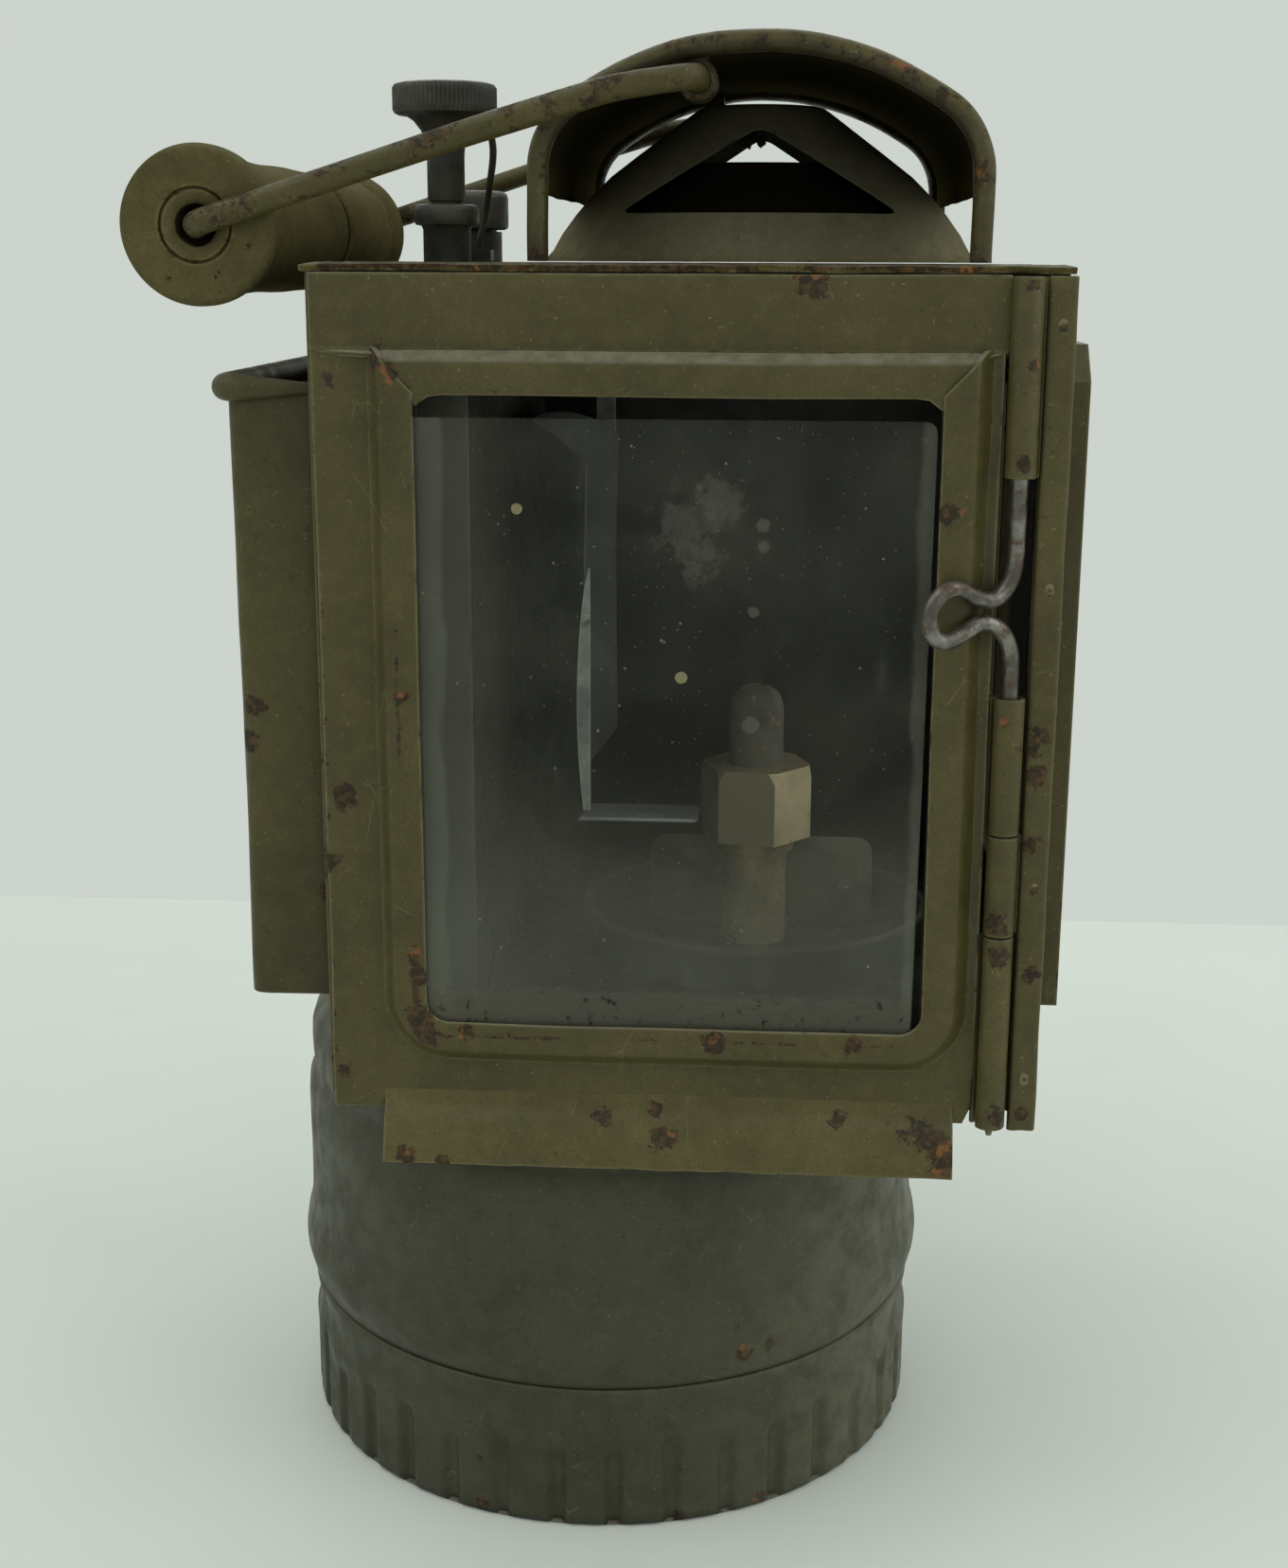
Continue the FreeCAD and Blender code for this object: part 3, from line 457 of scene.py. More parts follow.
def old_paint(name, paint, rubbed, wear=0.5, rust=0.35, marks=(), dust=0.25, gloss=0.42, seed=0.0,
              rim_size=0.9,
              soot=0.0, painted_shade_box=None, shine=0.28, right_side_dust_and_light=0.0, bands=()):
    """Old brushed paint on sheet steel: tone changes, scratches, rubbed edges, rust and dust, with painted
    shade in creases and, where asked, on downward faces and inside the housing, and painted light on the
    right side.
    """
    n = Nodes(name)
    dark = tuple(c * 0.70 for c in paint)
    shift = n.moved(shift=(seed, seed * 0.7, -seed))
    tone = n.step(n.noise(24.0, 5.0, 0.65, vector=shift), 0.32, 0.68)
    colour = n.mix(tone, dark, paint)
    mottled = n.step(n.noise(4.0, 6.0, 0.7, vector=shift), 0.40, 0.70)
    colour = n.mix(n.math("MULTIPLY", mottled, 0.30), colour, tuple(c * 1.5 for c in paint))
    grain = n.step(n.noise(0.55, 2.0, 0.6), 0.35, 0.70)
    colour = n.mix(n.math("MULTIPLY", grain, 0.30), colour, tuple(c * 0.45 for c in paint))
    grime = n.step(n.noise(2.6, 5.0, 0.75, vector=n.moved(shift=(-seed, seed, 0))), 0.62, 0.68)
    colour = n.mix(n.math("MULTIPLY", grime, 0.6), colour, tuple(c * 0.35 for c in paint))
    pale_specks = n.step(n.noise(0.7, 1.0), 0.73, 0.78)
    colour = n.mix(n.math("MULTIPLY", pale_specks, 0.6), colour, rubbed)
    hairline = n.step(n.cells(15.0, "DISTANCE_TO_EDGE", n.moved((1, 1, 0.7), (seed, 0, 0))), 0.010, 0.0)
    broken = n.step(n.noise(9.0, 4.0, 0.7), 0.55, 0.62)
    scratch = n.math("MULTIPLY", hairline, broken)
    colour = n.mix(n.math("MULTIPLY", scratch, 0.35), colour, rubbed)
    rim = n.edges(rim_size)
    patchy = n.noise(2.0, 6.0, 0.75)
    worn = n.step(n.math("ADD", n.math("MULTIPLY", rim, 1.4), n.math("MULTIPLY", patchy, 0.5)),
                  0.38 - wear * 0.16, 0.47)
    worn = n.math("MULTIPLY", worn, n.step(rim, 0.008, 0.05))
    colour = n.mix(n.math("MULTIPLY", worn, 0.8), colour, rubbed)
    rust_field = n.noise(6.0, 8.0, 0.78, vector=shift)
    on_edge = n.math("MULTIPLY", n.step(rim, 0.0, 0.10), 0.14)
    rusty = n.step(n.math("ADD", rust_field, on_edge), 0.735 - rust * 0.1, 0.750 - rust * 0.1)
    if marks:
        rusty = n.math("MAXIMUM", rusty, n.spots(marks))
    if bands:
        rusty = n.math("MAXIMUM", rusty, n.strips(bands))
    rust_tone = n.step(n.noise(1.5, 5.0, 0.7), 0.42, 0.66)
    rust_colour = n.mix(rust_tone, (0.029, 0.021, 0.012), (0.088, 0.050, 0.022))
    orange = n.step(n.noise(5.0, 3.0, 0.6, vector=n.moved(shift=(0.2, seed, 0.1))), 0.61, 0.68)
    rust_colour = n.mix(n.math("MULTIPLY", orange, 0.7), rust_colour, (0.23, 0.098, 0.034))
    ring = n.math("MULTIPLY", n.step(rusty, 0.02, 0.4), n.step(rusty, 0.98, 0.5))
    colour = n.mix(n.math("MULTIPLY", ring, 0.8), colour, rubbed)
    colour = n.mix(rusty, colour, rust_colour)
    # Painted shade: the colour darkens in creases and corners, where little light reaches.
    crease_shade = n.creases(5.0)
    colour = n.mix(n.step(crease_shade, 0.80, 0.15, 0.0, 0.85), colour, tuple(c * 0.22 for c in paint))
    # Pale dust on upward faces; on the grip the pale top also stands in for a painted highlight.
    top_dust_and_sheen = n.math("MULTIPLY", n.step(n.upward(), 0.35, 1.0), dust)
    colour = n.mix(n.math("MULTIPLY", top_dust_and_sheen, n.step(n.noise(3.0, 5.0, 0.7), 0.3, 0.7, 0.5, 1.2)), colour,
                   (0.22, 0.205, 0.15))
    # Paler towards the right side (+x): dust, and painted light falling from the right.
    if right_side_dust_and_light:
        beside = n.math("MULTIPLY", n.step(n.axis("X"), 0.018, 0.060),
                        n.step(n.noise(7.0, 7.0, 0.75), 0.30, 0.65))
        colour = n.mix(n.math("MULTIPLY", beside, right_side_dust_and_light), colour, (0.20, 0.195, 0.135))
    # Faces that look downward darken towards near black: soot, and painted shade under the hood and in the
    # chimney.
    if soot:
        under = n.math("MULTIPLY", n.step(n.upward(), 0.15, -0.35), soot)
        colour = n.mix(under, colour, (0.016, 0.014, 0.010))
    # Painted shade: everything inside the given box goes near black, the shade inside the closed lamp.
    if painted_shade_box:
        colour = n.mix(n.math("MULTIPLY", n.within(*painted_shade_box), 0.93), colour, (0.008, 0.0075, 0.006))
    rough = n.math("ADD", n.step(n.noise(5.0, 5.0), 0.3, 0.7, gloss - 0.10, gloss + 0.14),
                   n.math("MULTIPLY", rusty, 0.35))
    normal = n.bump(n.noise(28.0, 2.0), 0.8, 0.35)
    normal = n.bump(n.noise(2.4, 3.0, 0.5), 0.09, 0.5, normal)
    chips = n.math("ADD", n.math("MULTIPLY", rusty, 0.8), n.math("MULTIPLY", worn, 0.3))
    normal = n.bump(n.math("SUBTRACT", n.noise(0.7, 3.0), chips), 0.08, 0.8, normal)
    return n.finish(colour, rough, normal, specular=shine)


def worn_metal(name, bright, dark, stain, metal=1.0, gloss=0.35, size=4.0, stain_share=0.5, back=None):
    """Bare metal with a tarnished tone, dark stains and fine scratches, and, where asked, painted shade on
    faces turned to the left.
    """
    n = Nodes(name)
    tone = n.step(n.noise(size * 2.5, 5.0, 0.6), 0.35, 0.65)
    colour = n.mix(tone, dark, bright)
    stained = n.step(n.noise(size, 7.0, 0.72), 0.66 - stain_share * 0.2, 0.72 - stain_share * 0.1)
    colour = n.mix(stained, colour, stain)
    speck = n.step(n.noise(0.7, 2.0), 0.70, 0.76)
    colour = n.mix(n.math("MULTIPLY", speck, 0.4), colour, tuple(c * 0.4 for c in dark))
    rim = n.edges(0.6)
    colour = n.mix(n.step(rim, 0.04, 0.25, 0.0, 0.6), colour, tuple(min(1.0, c * 1.5) for c in bright))
    # Faces turned towards -x take the `back` colour: painted shade on the side turned away from the light.
    if back:
        split = n.new("ShaderNodeSeparateXYZ")
        n.link(n.new("ShaderNodeNewGeometry").outputs["Normal"], split.inputs[0])
        colour = n.mix(n.step(split.outputs["X"], 0.25, -0.15), colour, back)
    rough = n.math("ADD", n.step(n.noise(2.0, 4.0), 0.3, 0.7, gloss - 0.06, gloss + 0.14),
                   n.math("MULTIPLY", stained, 0.25))
    metallic = n.step(stained, 0.0, 1.0, metal, metal * 0.25)
    normal = n.bump(n.noise(0.6, 3.0, vector=n.moved((1, 1, 0.3))), 0.04, 0.6)
    return n.finish(colour, rough, normal, metallic)


def dusty_glass(name):
    """Clear glass under an uneven film of dust, with specks, smears and a dustier margin at the sides."""
    n = Nodes(name)
    low, high = GLASS_LOW * MM, GLASS_HIGH * MM
    film = n.step(n.noise(30.0, 5.0, 0.62, 0.5), 0.35, 0.75, 0.025, 0.085)
    smears = n.step(n.noise(10.0, 7.0, 0.75, 1.2, n.moved((1, 1, 0.45))), 0.58, 0.74, 0.0, 0.09)
    specks = n.step(n.cells(1.9), 0.085, 0.045, 0.0, 0.45)
    crumbs = n.math("MULTIPLY", n.step(n.cells(4.6), 0.075, 0.035, 0.0, 0.6),
                    n.step(n.noise(14.0), 0.46, 0.56))
    threads = n.step(n.cells(9.0, "DISTANCE_TO_EDGE"), 0.008, 0.0, 0.0, 0.35)
    threads = n.math("MULTIPLY", threads, n.step(n.noise(2.5, 2.0), 0.66, 0.70))
    haze = n.math("ADD", n.math("ADD", film, smears), n.math("ADD", specks, n.math("ADD", crumbs, threads)))
    across, rise = n.axis("X"), n.axis("Z")
    wavy = n.math("MULTIPLY", n.math("SUBTRACT", n.noise(9.0, 3.0), 0.5), 0.004)
    edge_x = n.math("ADD", across, wavy)
    from_left = n.step(edge_x, low.x + 0.0072, low.x + 0.0084)
    from_right = n.step(edge_x, high.x - 0.0040, high.x - 0.0052)
    inner = n.math("MULTIPLY", from_left, from_right)
    margin = n.math("MULTIPLY", n.math("SUBTRACT", 1.0, inner), 0.10)
    haze = n.math("ADD", haze, margin)
    haze = n.math("ADD", haze, n.step(rise, low.z + 0.055, low.z + 0.004, 0.0, 0.13))
    haze = n.math("ADD", haze, n.step(across, low.x + 0.030, low.x, 0.0, 0.06))
    band = n.step(n.math("ADD", rise, wavy), low.z + 0.0088, low.z + 0.0074)
    haze = n.math("ADD", haze, n.math("MULTIPLY", band, 0.25))
    wiped = n.spots(((17.5, PANE_FACE, 192.0, 4.5), (23.0, PANE_FACE, 196.0, 4.0),
                     (19.5, PANE_FACE, 186.5, 3.2)), 5.5, 2.2)
    haze = n.math("ADD", haze, n.math("MULTIPLY", wiped, 0.08))
    drops = n.spots(((-10.5, PANE_FACE, 194.8, 0.95), (17.2, PANE_FACE, 166.6, 1.1)), 0.5)
    rings = n.spots(((29.0, PANE_FACE, 158.6, 1.5), (30.6, PANE_FACE, 192.5, 1.2),
                     (30.8, PANE_FACE, 189.0, 1.1),
                     (29.2, PANE_FACE, 178.0, 1.0)), 1.4, 1.2)
    haze = n.math("MAXIMUM", haze, n.math("MULTIPLY", drops, 0.42))
    haze = n.math("MAXIMUM", haze, n.math("MULTIPLY", rings, 0.22))
    black = n.math("MULTIPLY", band, n.step(n.noise(2.2, 6.0, 0.75), 0.58, 0.64))
    haze = n.math("MAXIMUM", haze, n.math("MULTIPLY", black, 0.9))
    dust = n.mix(n.noise(9.0, 3.0), (0.212, 0.214, 0.168), (0.29, 0.294, 0.232))
    dust = n.mix(margin, dust, (0.25, 0.25, 0.17))
    dust = n.mix(drops, dust, (0.50, 0.45, 0.24))
    dust = n.mix(n.math("MULTIPLY", band, 0.7), dust, (0.11, 0.10, 0.07))
    dust = n.mix(black, dust, (0.015, 0.012, 0.01))
    n.link(dust, n.shader.inputs["Base Color"])
    n.link(n.math("MINIMUM", haze, 0.9), n.shader.inputs["Alpha"])
    n.shader.inputs["Roughness"].default_value = 0.6
    n.shader.inputs["Specular IOR Level"].default_value = 0.2
    clear = n.new("ShaderNodeBsdfGlossy")
    clear.inputs["Roughness"].default_value = 0.04
    fresnel = n.new("ShaderNodeFresnel")
    fresnel.inputs["IOR"].default_value = 1.12
    blend = n.new("ShaderNodeMixShader")
    n.link(fresnel.outputs["Fac"], blend.inputs[0])
    n.link(n.shader.outputs[0], blend.inputs[1])
    n.link(clear.outputs[0], blend.inputs[2])
    out = n.tree.nodes["Material Output"]
    n.tree.links.new(blend.outputs[0], out.inputs["Surface"])
    return n.material


HEAD_PAINT = (0.083, 0.069, 0.0235)
HEAD_RUBBED = (0.215, 0.185, 0.095)
BASE_PAINT = (0.056, 0.056, 0.031)
BASE_RUBBED = (0.165, 0.160, 0.100)
# The box of the housing's interior, which is painted near black as painted shade.
SHADED_INTERIOR = ((-44.9, -63.2, 89.0), (78.5, 64.6, 233.0))
DOOR_MARKS = (
    (-42.5, -65.5, 215.5, 1.6), (-34.0, -66.5, 219.0, 2.2), (-31.5, -68.0, 217.0, 1.8),
    (-41.0, -65.5, 144.5, 2.4),
    (-28.4, -68.6, 112.0, 1.9), (-28.8, -68.6, 105.5, 2.3), (-27.4, -68.6, 102.0, 2.4),
    (-20.5, -68.6, 101.8, 1.6),
    (61.5, -68.6, 195.0, 2.0), (-44.3, -65.4, 133.0, 1.6), (-43.0, -65.4, 92.5, 1.5),
    (-30.5, -68.6, 163.0, 1.2),
    (48.0, -68.6, 102.0, 1.8), (23.0, -68.6, 101.6, 2.2), (37.5, -65.5, 231.2, 2.4))
DOOR_BANDS = ((-30.4, -27.9, 101.0, 119.0), (-29.5, -3.0, 100.6, 102.2), (-32.0, -30.2, 150.0, 175.0),
              (8.0, 56.0, 100.9, 102.2), (-44.9, -43.9, 95.0, 180.0), (-30.5, -29.6, 122.0, 150.0))
LIP_MARKS = (
    (13.5, -66.4, 87.6, 1.6), (14.6, -67.6, 82.6, 2.1), (60.5, -67.2, 84.8, 2.8), (63.8, -67.6, 83.0, 3.0),
    (64.5, -68.6, 80.6, 2.4), (45.5, -66.5, 86.8, 1.4), (-31.5, -69.6, 78.4, 1.6),
    (-25.0, -69.7, 78.2, 1.3),
    (4.0, -66.6, 86.2, 2.0))
HINGE_MARKS = (
    (72.3, -68.6, 119.0, 2.2), (71.5, -68.6, 124.5, 2.2), (72.5, -68.6, 203.0, 1.4),
    (73.5, -68.6, 89.0, 1.8),
    (78.5, -65.4, 114.5, 1.6), (77.0, -65.4, 137.5, 2.0), (73.0, -68.6, 231.6, 1.4),
    (74.0, -68.0, 219.0, 1.1),
    (76.5, -65.5, 156.0, 2.6), (77.5, -65.5, 150.0, 2.0), (71.6, -68.6, 160.0, 1.0),
    (78.0, -65.5, 88.0, 1.4))
POCKET_MARKS = ((-59.5, -56.4, 158.0, 2.0), (-60.5, -56.4, 152.0, 1.8), (-47.4, -56.4, 124.0, 1.6))



def make_materials():
    """Every finish used on the lamp."""
    return {
        "head": old_paint("olive_head_paint", HEAD_PAINT, HEAD_RUBBED, 0.5, 0.25, seed=0.13, painted_shade_box=SHADED_INTERIOR),
        "door": old_paint("olive_door_paint", HEAD_PAINT, HEAD_RUBBED, 0.8, 0.25, DOOR_MARKS, seed=0.31,
                          dust=0.85,
                          bands=DOOR_BANDS),
        # A lighter copy of the head paint: painted light on the lip, which faces up towards the light.
        "lip": old_paint("lit_olive_lip_paint", tuple(c * 1.25 for c in HEAD_PAINT), HEAD_RUBBED, 0.9, 0.35,
                         LIP_MARKS,
                         seed=0.57, dust=0.5),
        "hinge": old_paint("olive_hinge_paint", tuple(c * 1.08 for c in HEAD_PAINT), HEAD_RUBBED, 0.8, 0.40,
                           HINGE_MARKS, seed=0.71),
        # soot darkens the downward faces of the hood: soot, and painted shade under the hood.
        "hood": old_paint("olive_hood_paint", HEAD_PAINT, (0.26, 0.22, 0.14), 2.3, 1.9, seed=0.93,
                          rim_size=2.0, soot=0.5, shine=0.22),
        "hood_sheet": old_paint("soot_and_shade_hood_paint", HEAD_PAINT, HEAD_RUBBED, 0.6, 0.3, seed=0.43, soot=0.62,
                                shine=0.0, gloss=0.7),
        "roof": old_paint("olive_roof_paint", HEAD_PAINT, HEAD_RUBBED, 1.0, 1.4, dust=0.35, seed=0.27,
                          shine=0.04,
                          bands=((-44.0, 30.0, ROOF_HIGH.z - 2.2, ROOF_HIGH.z + 1.0),
                                 (36.0, 66.0, ROOF_HIGH.z - 2.0, ROOF_HIGH.z + 0.8))),
        "pocket": old_paint("olive_pocket_paint", tuple(c * 0.92 for c in HEAD_PAINT), HEAD_RUBBED, 0.45,
                            0.3,
                            POCKET_MARKS, seed=0.45),
        # The base and pot are paler on the right side: dust and painted light from the right.
        "base": old_paint("olive_base_paint", BASE_PAINT, BASE_RUBBED, 0.35, 0.12,
                          ((30.0, -58.0, 34.5, 2.2), (34.5, -55.0, 35.5, 1.7)), dust=0.5, gloss=0.48,
                          seed=0.62,
                          right_side_dust_and_light=0.35),
        "pot": old_paint("olive_pot_paint", BASE_PAINT, BASE_RUBBED, 0.6, 0.25,
                         ((-20.0, -60.0, 1.5, 1.6), (-20.5, -59.8, 12.0, 1.0), (33.0, -54.0, 1.5, 1.8),
                          (18.0, -61.0, 1.5, 1.5), (45.0, -45.0, 2.0, 1.5)), gloss=0.48, seed=0.83,
                         right_side_dust_and_light=0.38),
        # soot darkens the cone's downward faces: soot, and painted shade beneath the hood.
        "cone": old_paint("soot_and_shade_cone_paint", (0.178, 0.158, 0.094), HEAD_RUBBED, 0.2, 0.35, gloss=0.65,
                          seed=0.5,
                          dust=0.45, shine=0.0, soot=0.9),
        "soot": old_paint("soot_black", (0.010, 0.009, 0.007), (0.02, 0.018, 0.014), 0.2, 0.0, dust=0.0,
                          gloss=0.7, seed=0.2, shine=0.0),
        "wire": old_paint("olive_wire_paint", HEAD_PAINT, (0.24, 0.19, 0.12), 1.0, 1.95, gloss=0.36,
                          seed=0.67,
                          dust=0.1, rim_size=1.6, shine=0.22),
        # dust=0.25 pales the top of the grip: dust, and a painted highlight in place of its sheen.
        "grip": old_paint("olive_grip_paint", (0.112, 0.095, 0.044), (0.23, 0.16, 0.07), 1.0, 0.9,
                          gloss=0.42, dust=0.25,
                          seed=0.77, rim_size=1.4, shine=0.0),
        # Near-black finish for parts inside the housing: painted shade in the closed lamp.
        "inside": old_paint("dark_inside", (0.035, 0.034, 0.024), (0.07, 0.065, 0.05), 0.4, 0.3, gloss=0.55,
                            seed=0.36, dust=0.1),
        "tank": old_paint("tank_wall_paint", (0.060, 0.060, 0.040), (0.14, 0.13, 0.09), 0.4, 0.2, gloss=0.5,
                          seed=0.96, dust=0.15),
        "knob": worn_metal("blackened_brass", (0.072, 0.070, 0.050), (0.030, 0.030, 0.023),
                           (0.05, 0.032, 0.02),
                           0.25, 0.45, 3.0),
        # back darkens the nut's left-facing faces: painted shade, with the light falling from the right.
        "brass": worn_metal("old_brass", (0.62, 0.51, 0.30), (0.45, 0.37, 0.21), (0.20, 0.16, 0.09), 0.2,
                            0.45,
                            5.0, 0.3, back=(0.20, 0.17, 0.10)),
        "steel": worn_metal("bare_steel", (0.25, 0.235, 0.21), (0.08, 0.072, 0.062), (0.085, 0.048, 0.028),
                            0.8, 0.30,
                            2.4, 0.9),
        "plate": worn_metal("dull_plate", (0.15, 0.135, 0.095), (0.075, 0.07, 0.05), (0.04, 0.035, 0.025),
                            0.25,
                            0.5, 5.0, 0.3),
        # back darkens the reflector's left-facing convex back: painted shade on the side turned from the
        # window.
        "mirror": worn_metal("tarnished_sheet", (0.075, 0.078, 0.068), (0.04, 0.042, 0.036),
                             (0.03, 0.027, 0.02), 0.0,
                             0.6, 9.0, 0.4, back=(0.022, 0.022, 0.018)),
        "mirror_edge": worn_metal("reflector_edge", (0.26, 0.27, 0.24), (0.12, 0.125, 0.11),
                                  (0.06, 0.055, 0.045),
                                  0.2, 0.5, 3.0, 0.6),
        "tube": worn_metal("burnt_brass", (0.55, 0.45, 0.26), (0.36, 0.29, 0.16), (0.22, 0.17, 0.10), 0.6,
                           0.30,
                           6.0, 0.3),
        "zinc": worn_metal("zinc_sheet", (0.52, 0.53, 0.50), (0.34, 0.35, 0.33), (0.5, 0.5, 0.47), 0.4, 0.5,
                           6.0),
        "stone": worn_metal("burner_stone", (0.12, 0.105, 0.075), (0.055, 0.05, 0.037), (0.25, 0.18, 0.09),
                            0.0,
                            0.7, 4.0, 0.4),
        "rubber": worn_metal("old_rubber", (0.03, 0.03, 0.03), (0.02, 0.02, 0.02), (0.04, 0.037, 0.03), 0.0,
                             0.7,
                             4.0),
        "glass": dusty_glass("dusty_glass"),
    }


M = make_materials()


# ------------------------------------------------------------------ camera, light and floor
def stage_setting():
    """Camera at the viewing angle, soft studio light, pale floor and background."""
    eye = Vector((33.4, -411.7, 235.1)) * MM
    yaw, pitch, roll = 0.065, 0.2474, 0.0042
    ahead = Vector((-math.sin(yaw) * math.cos(pitch), math.cos(yaw) * math.cos(pitch), -math.sin(pitch)))
    right = Vector((math.cos(yaw), math.sin(yaw), 0))
    up = right.cross(ahead)
    turned_right = right * math.cos(roll) + up * math.sin(roll)
    turned_up = up * math.cos(roll) - right * math.sin(roll)
    lens = bpy.data.cameras.new("camera")
    lens.sensor_width = 36.0
    lens.lens = 47.64
    lens.clip_start = 0.01
    camera = linked("camera", lens)
    facing = Matrix((turned_right, turned_up, -ahead)).transposed()
    camera.matrix_world = Matrix.Translation(eye) @ facing.to_4x4()
    bpy.context.scene.camera = camera

    world = bpy.data.worlds.new("studio")
    world.use_nodes = True
    sky = world.node_tree.nodes["Background"]
    sky.inputs["Color"].default_value = (0.640, 0.690, 0.640, 1)
    sky.inputs["Strength"].default_value = 0.95
    bpy.context.scene.world = world
    bpy.context.scene.view_settings.view_transform = "Standard"

    lamps = (("key", (-0.45, -0.25, 1.0), 0.9, 2.35), ("fill", (0.85, -0.35, 0.65), 1.0, 2.7),
             ("back", (0.1, 0.8, 0.9), 0.9, 1.6))
    for name, spot, size, power in lamps:
        area = bpy.data.lights.new(name, "AREA")
        area.size = size
        area.energy = power
        lamp = linked(name, area)
        lamp.location = spot
        lamp.rotation_mode = "QUATERNION"
        lamp.rotation_quaternion = (Vector((0, 0, 0.12)) - Vector(spot)).to_track_quat("-Z", "Y")

    wide, back = 3.0, 0.325  # metres: half the floor's width, and where it meets the background
    mesh = bpy.data.meshes.new("floor")
    mesh.from_pydata([(-wide, -wide, 0), (wide, -wide, 0), (wide, back, 0), (-wide, back, 0)], [],
                     [(0, 1, 2, 3)])
    floor = linked("floor", mesh)
    n = Nodes("floor_paper")
    tone = n.mix(n.noise(60.0, 2.0), (0.725, 0.76, 0.715), (0.77, 0.81, 0.76))
    mesh.materials.append(n.finish(tone, 0.65, n.bump(n.noise(1.2, 2.0), 0.02, 0.4), specular=0.2))


# ------------------------------------------------------------------ base
def carbide_pot():
    """The fluted pot: pressed grooves that fade out above, a rolled foot and a turned lip."""
    outer = POT_HIGH.x
    steps, flutes = 720, 36
    profile = [(2, 2.4), (2, 0.5), (40, 0.4), (58, 0.1), (61.2, 0), (62.3, 0.1), (63.0, 0.6), (63.35, 1.4)]
    profile += [(outer, 1.4 + 0.9 * k) for k in range(1, 20)]
    profile += [(63.1, 19.6), (62.85, 20.8), (62.75, 22.5), (62.8, 25.0), (63.05, 26.6), (63.3, 27.7),
                (63.35, 28.5),
                (63.1, 29.0), (62.6, 29.05), (62.35, 28.4), (59.4, 28.25), (59.0, 28.6), (59.0, POT_HIGH.z),
                (57.9, POT_HIGH.z), (57.9, 26.5), (61.2, 24.0), (61.2, 2.4)]

    def radius_at(radius, height, angle):
        if radius < 62.9 or height > 22.6:
            return radius + 0.12 * noise.noise(Vector((math.cos(angle) * 2, math.sin(angle) * 2,
                                                       height / 30)))
        phase = (angle / TURN * flutes) % 1.0 - 0.5
        groove = math.exp(-(phase / 0.155) ** 4)
        number = int(angle / TURN * flutes)
        top = 16.6 + 1.6 * math.sin(number * 2.3)
        fade = 1 / (1 + math.exp((height - top) * 1.5))
        depth = 1.35 + 0.2 * math.sin(number * 1.7)
        return radius - groove * fade * depth - 0.25 * fade * (1 - groove) * abs(phase) * 2

    verts, faces = lathe(profile, steps, radius_at=radius_at)
    piece("fluted_pot", verts, faces, "pot", M["pot"], ("carbide_pot",), smooth=60)


def generator():
    """The generator's upper body, with its bead, straight wall, groove and shoulder."""
    outer = [(59.6, 29.25), (62.5, 29.22), (62.95, 29.4), (63.3, 30.3), (64.1, 32.4), (64.85, 35.2),
             (65.0, 37.4),
             (64.6, 40.2), (63.9, 43.0), (63.5, 45.6), (63.35, 50), (63.3, 56), (63.35, 62), (63.3, 68),
             (63.1, 71),
             (62.4, 72.6), (61.8, 74.0), (61.9, 75.4), (62.3, 77), (62.4, 80), (62.3, 82.6), (61.6, 84.8),
             (60.2, 86.4), (58.2, 87.5), (55.5, 87.95), (4, BODY_HIGH.z)]
    inner = [(max(radius - 1.2, 4), height - (1.2 if radius < 59 else 0.3))
             for radius, height in reversed(outer[3:])]
    profile = outer + inner + [(61.2, 30.6), (59.6, 30.45)]

    def radius_at(radius, height, angle):
        around = Vector((math.cos(angle), math.sin(angle), height / 45))
        return radius + (0.16 * noise.noise(around * 1.6) + 0.05 * noise.noise(around * 7)) * (radius > 40)

    verts, faces = lathe(profile, 256, radius_at=radius_at)
    piece("generator_shell", verts, faces, "lamp", M["base"], ("generator_body",), smooth=50)


# ------------------------------------------------------------------ door
WINDOW = {"left": -27.4, "right": 59.5, "low": 103.8, "high": 213.3}
SHEET_Y = -65.4
CORNER = 4.0
MITRE_TOP = 220.6


def press_height(distance):
    """How far the pressed frame stands forward at a distance from the window edge."""
    if distance < 0.9:
        return 2.65 + 0.45 * math.sin(distance / 0.9 * math.pi / 2)
    if distance < 5.0:
        return 3.1 + 0.1 * math.sin((distance - 0.9) / 4.1 * math.pi)
    if distance < 8.0:
        return 3.1 * (0.5 + 0.5 * math.cos((distance - 5.0) / 3.0 * math.pi))
    return -0.12 * math.exp(-(distance - 8.0) / 1.5)


def frame_loop(distance):
    """Points at one distance from the window: down the left rail, along the sill, up the right rail."""
    radius = CORNER + distance
    left, right = WINDOW["left"], WINDOW["right"]
    low = WINDOW["low"]
    top = min(WINDOW["high"] + distance, MITRE_TOP) + 0.6 * (distance < 7.6)
    points = [(left - distance, top + (low + CORNER - top) * k / 28) for k in range(28)]
    for k in range(13):
        angle = math.pi + math.pi / 2 * k / 12
        points.append((left + CORNER + radius * math.cos(angle), low + CORNER + radius * math.sin(angle)))
    points += [(left + CORNER + (right - left - 2 * CORNER) * k / 24, low - distance) for k in range(1, 24)]
    for k in range(13):
        angle = 1.5 * math.pi + math.pi / 2 * k / 12
        points.append((right - CORNER + radius * math.cos(angle), low + CORNER + radius * math.sin(angle)))
    points += [(right + distance, low + CORNER + (top - low - CORNER) * k / 28) for k in range(1, 29)]
    return points


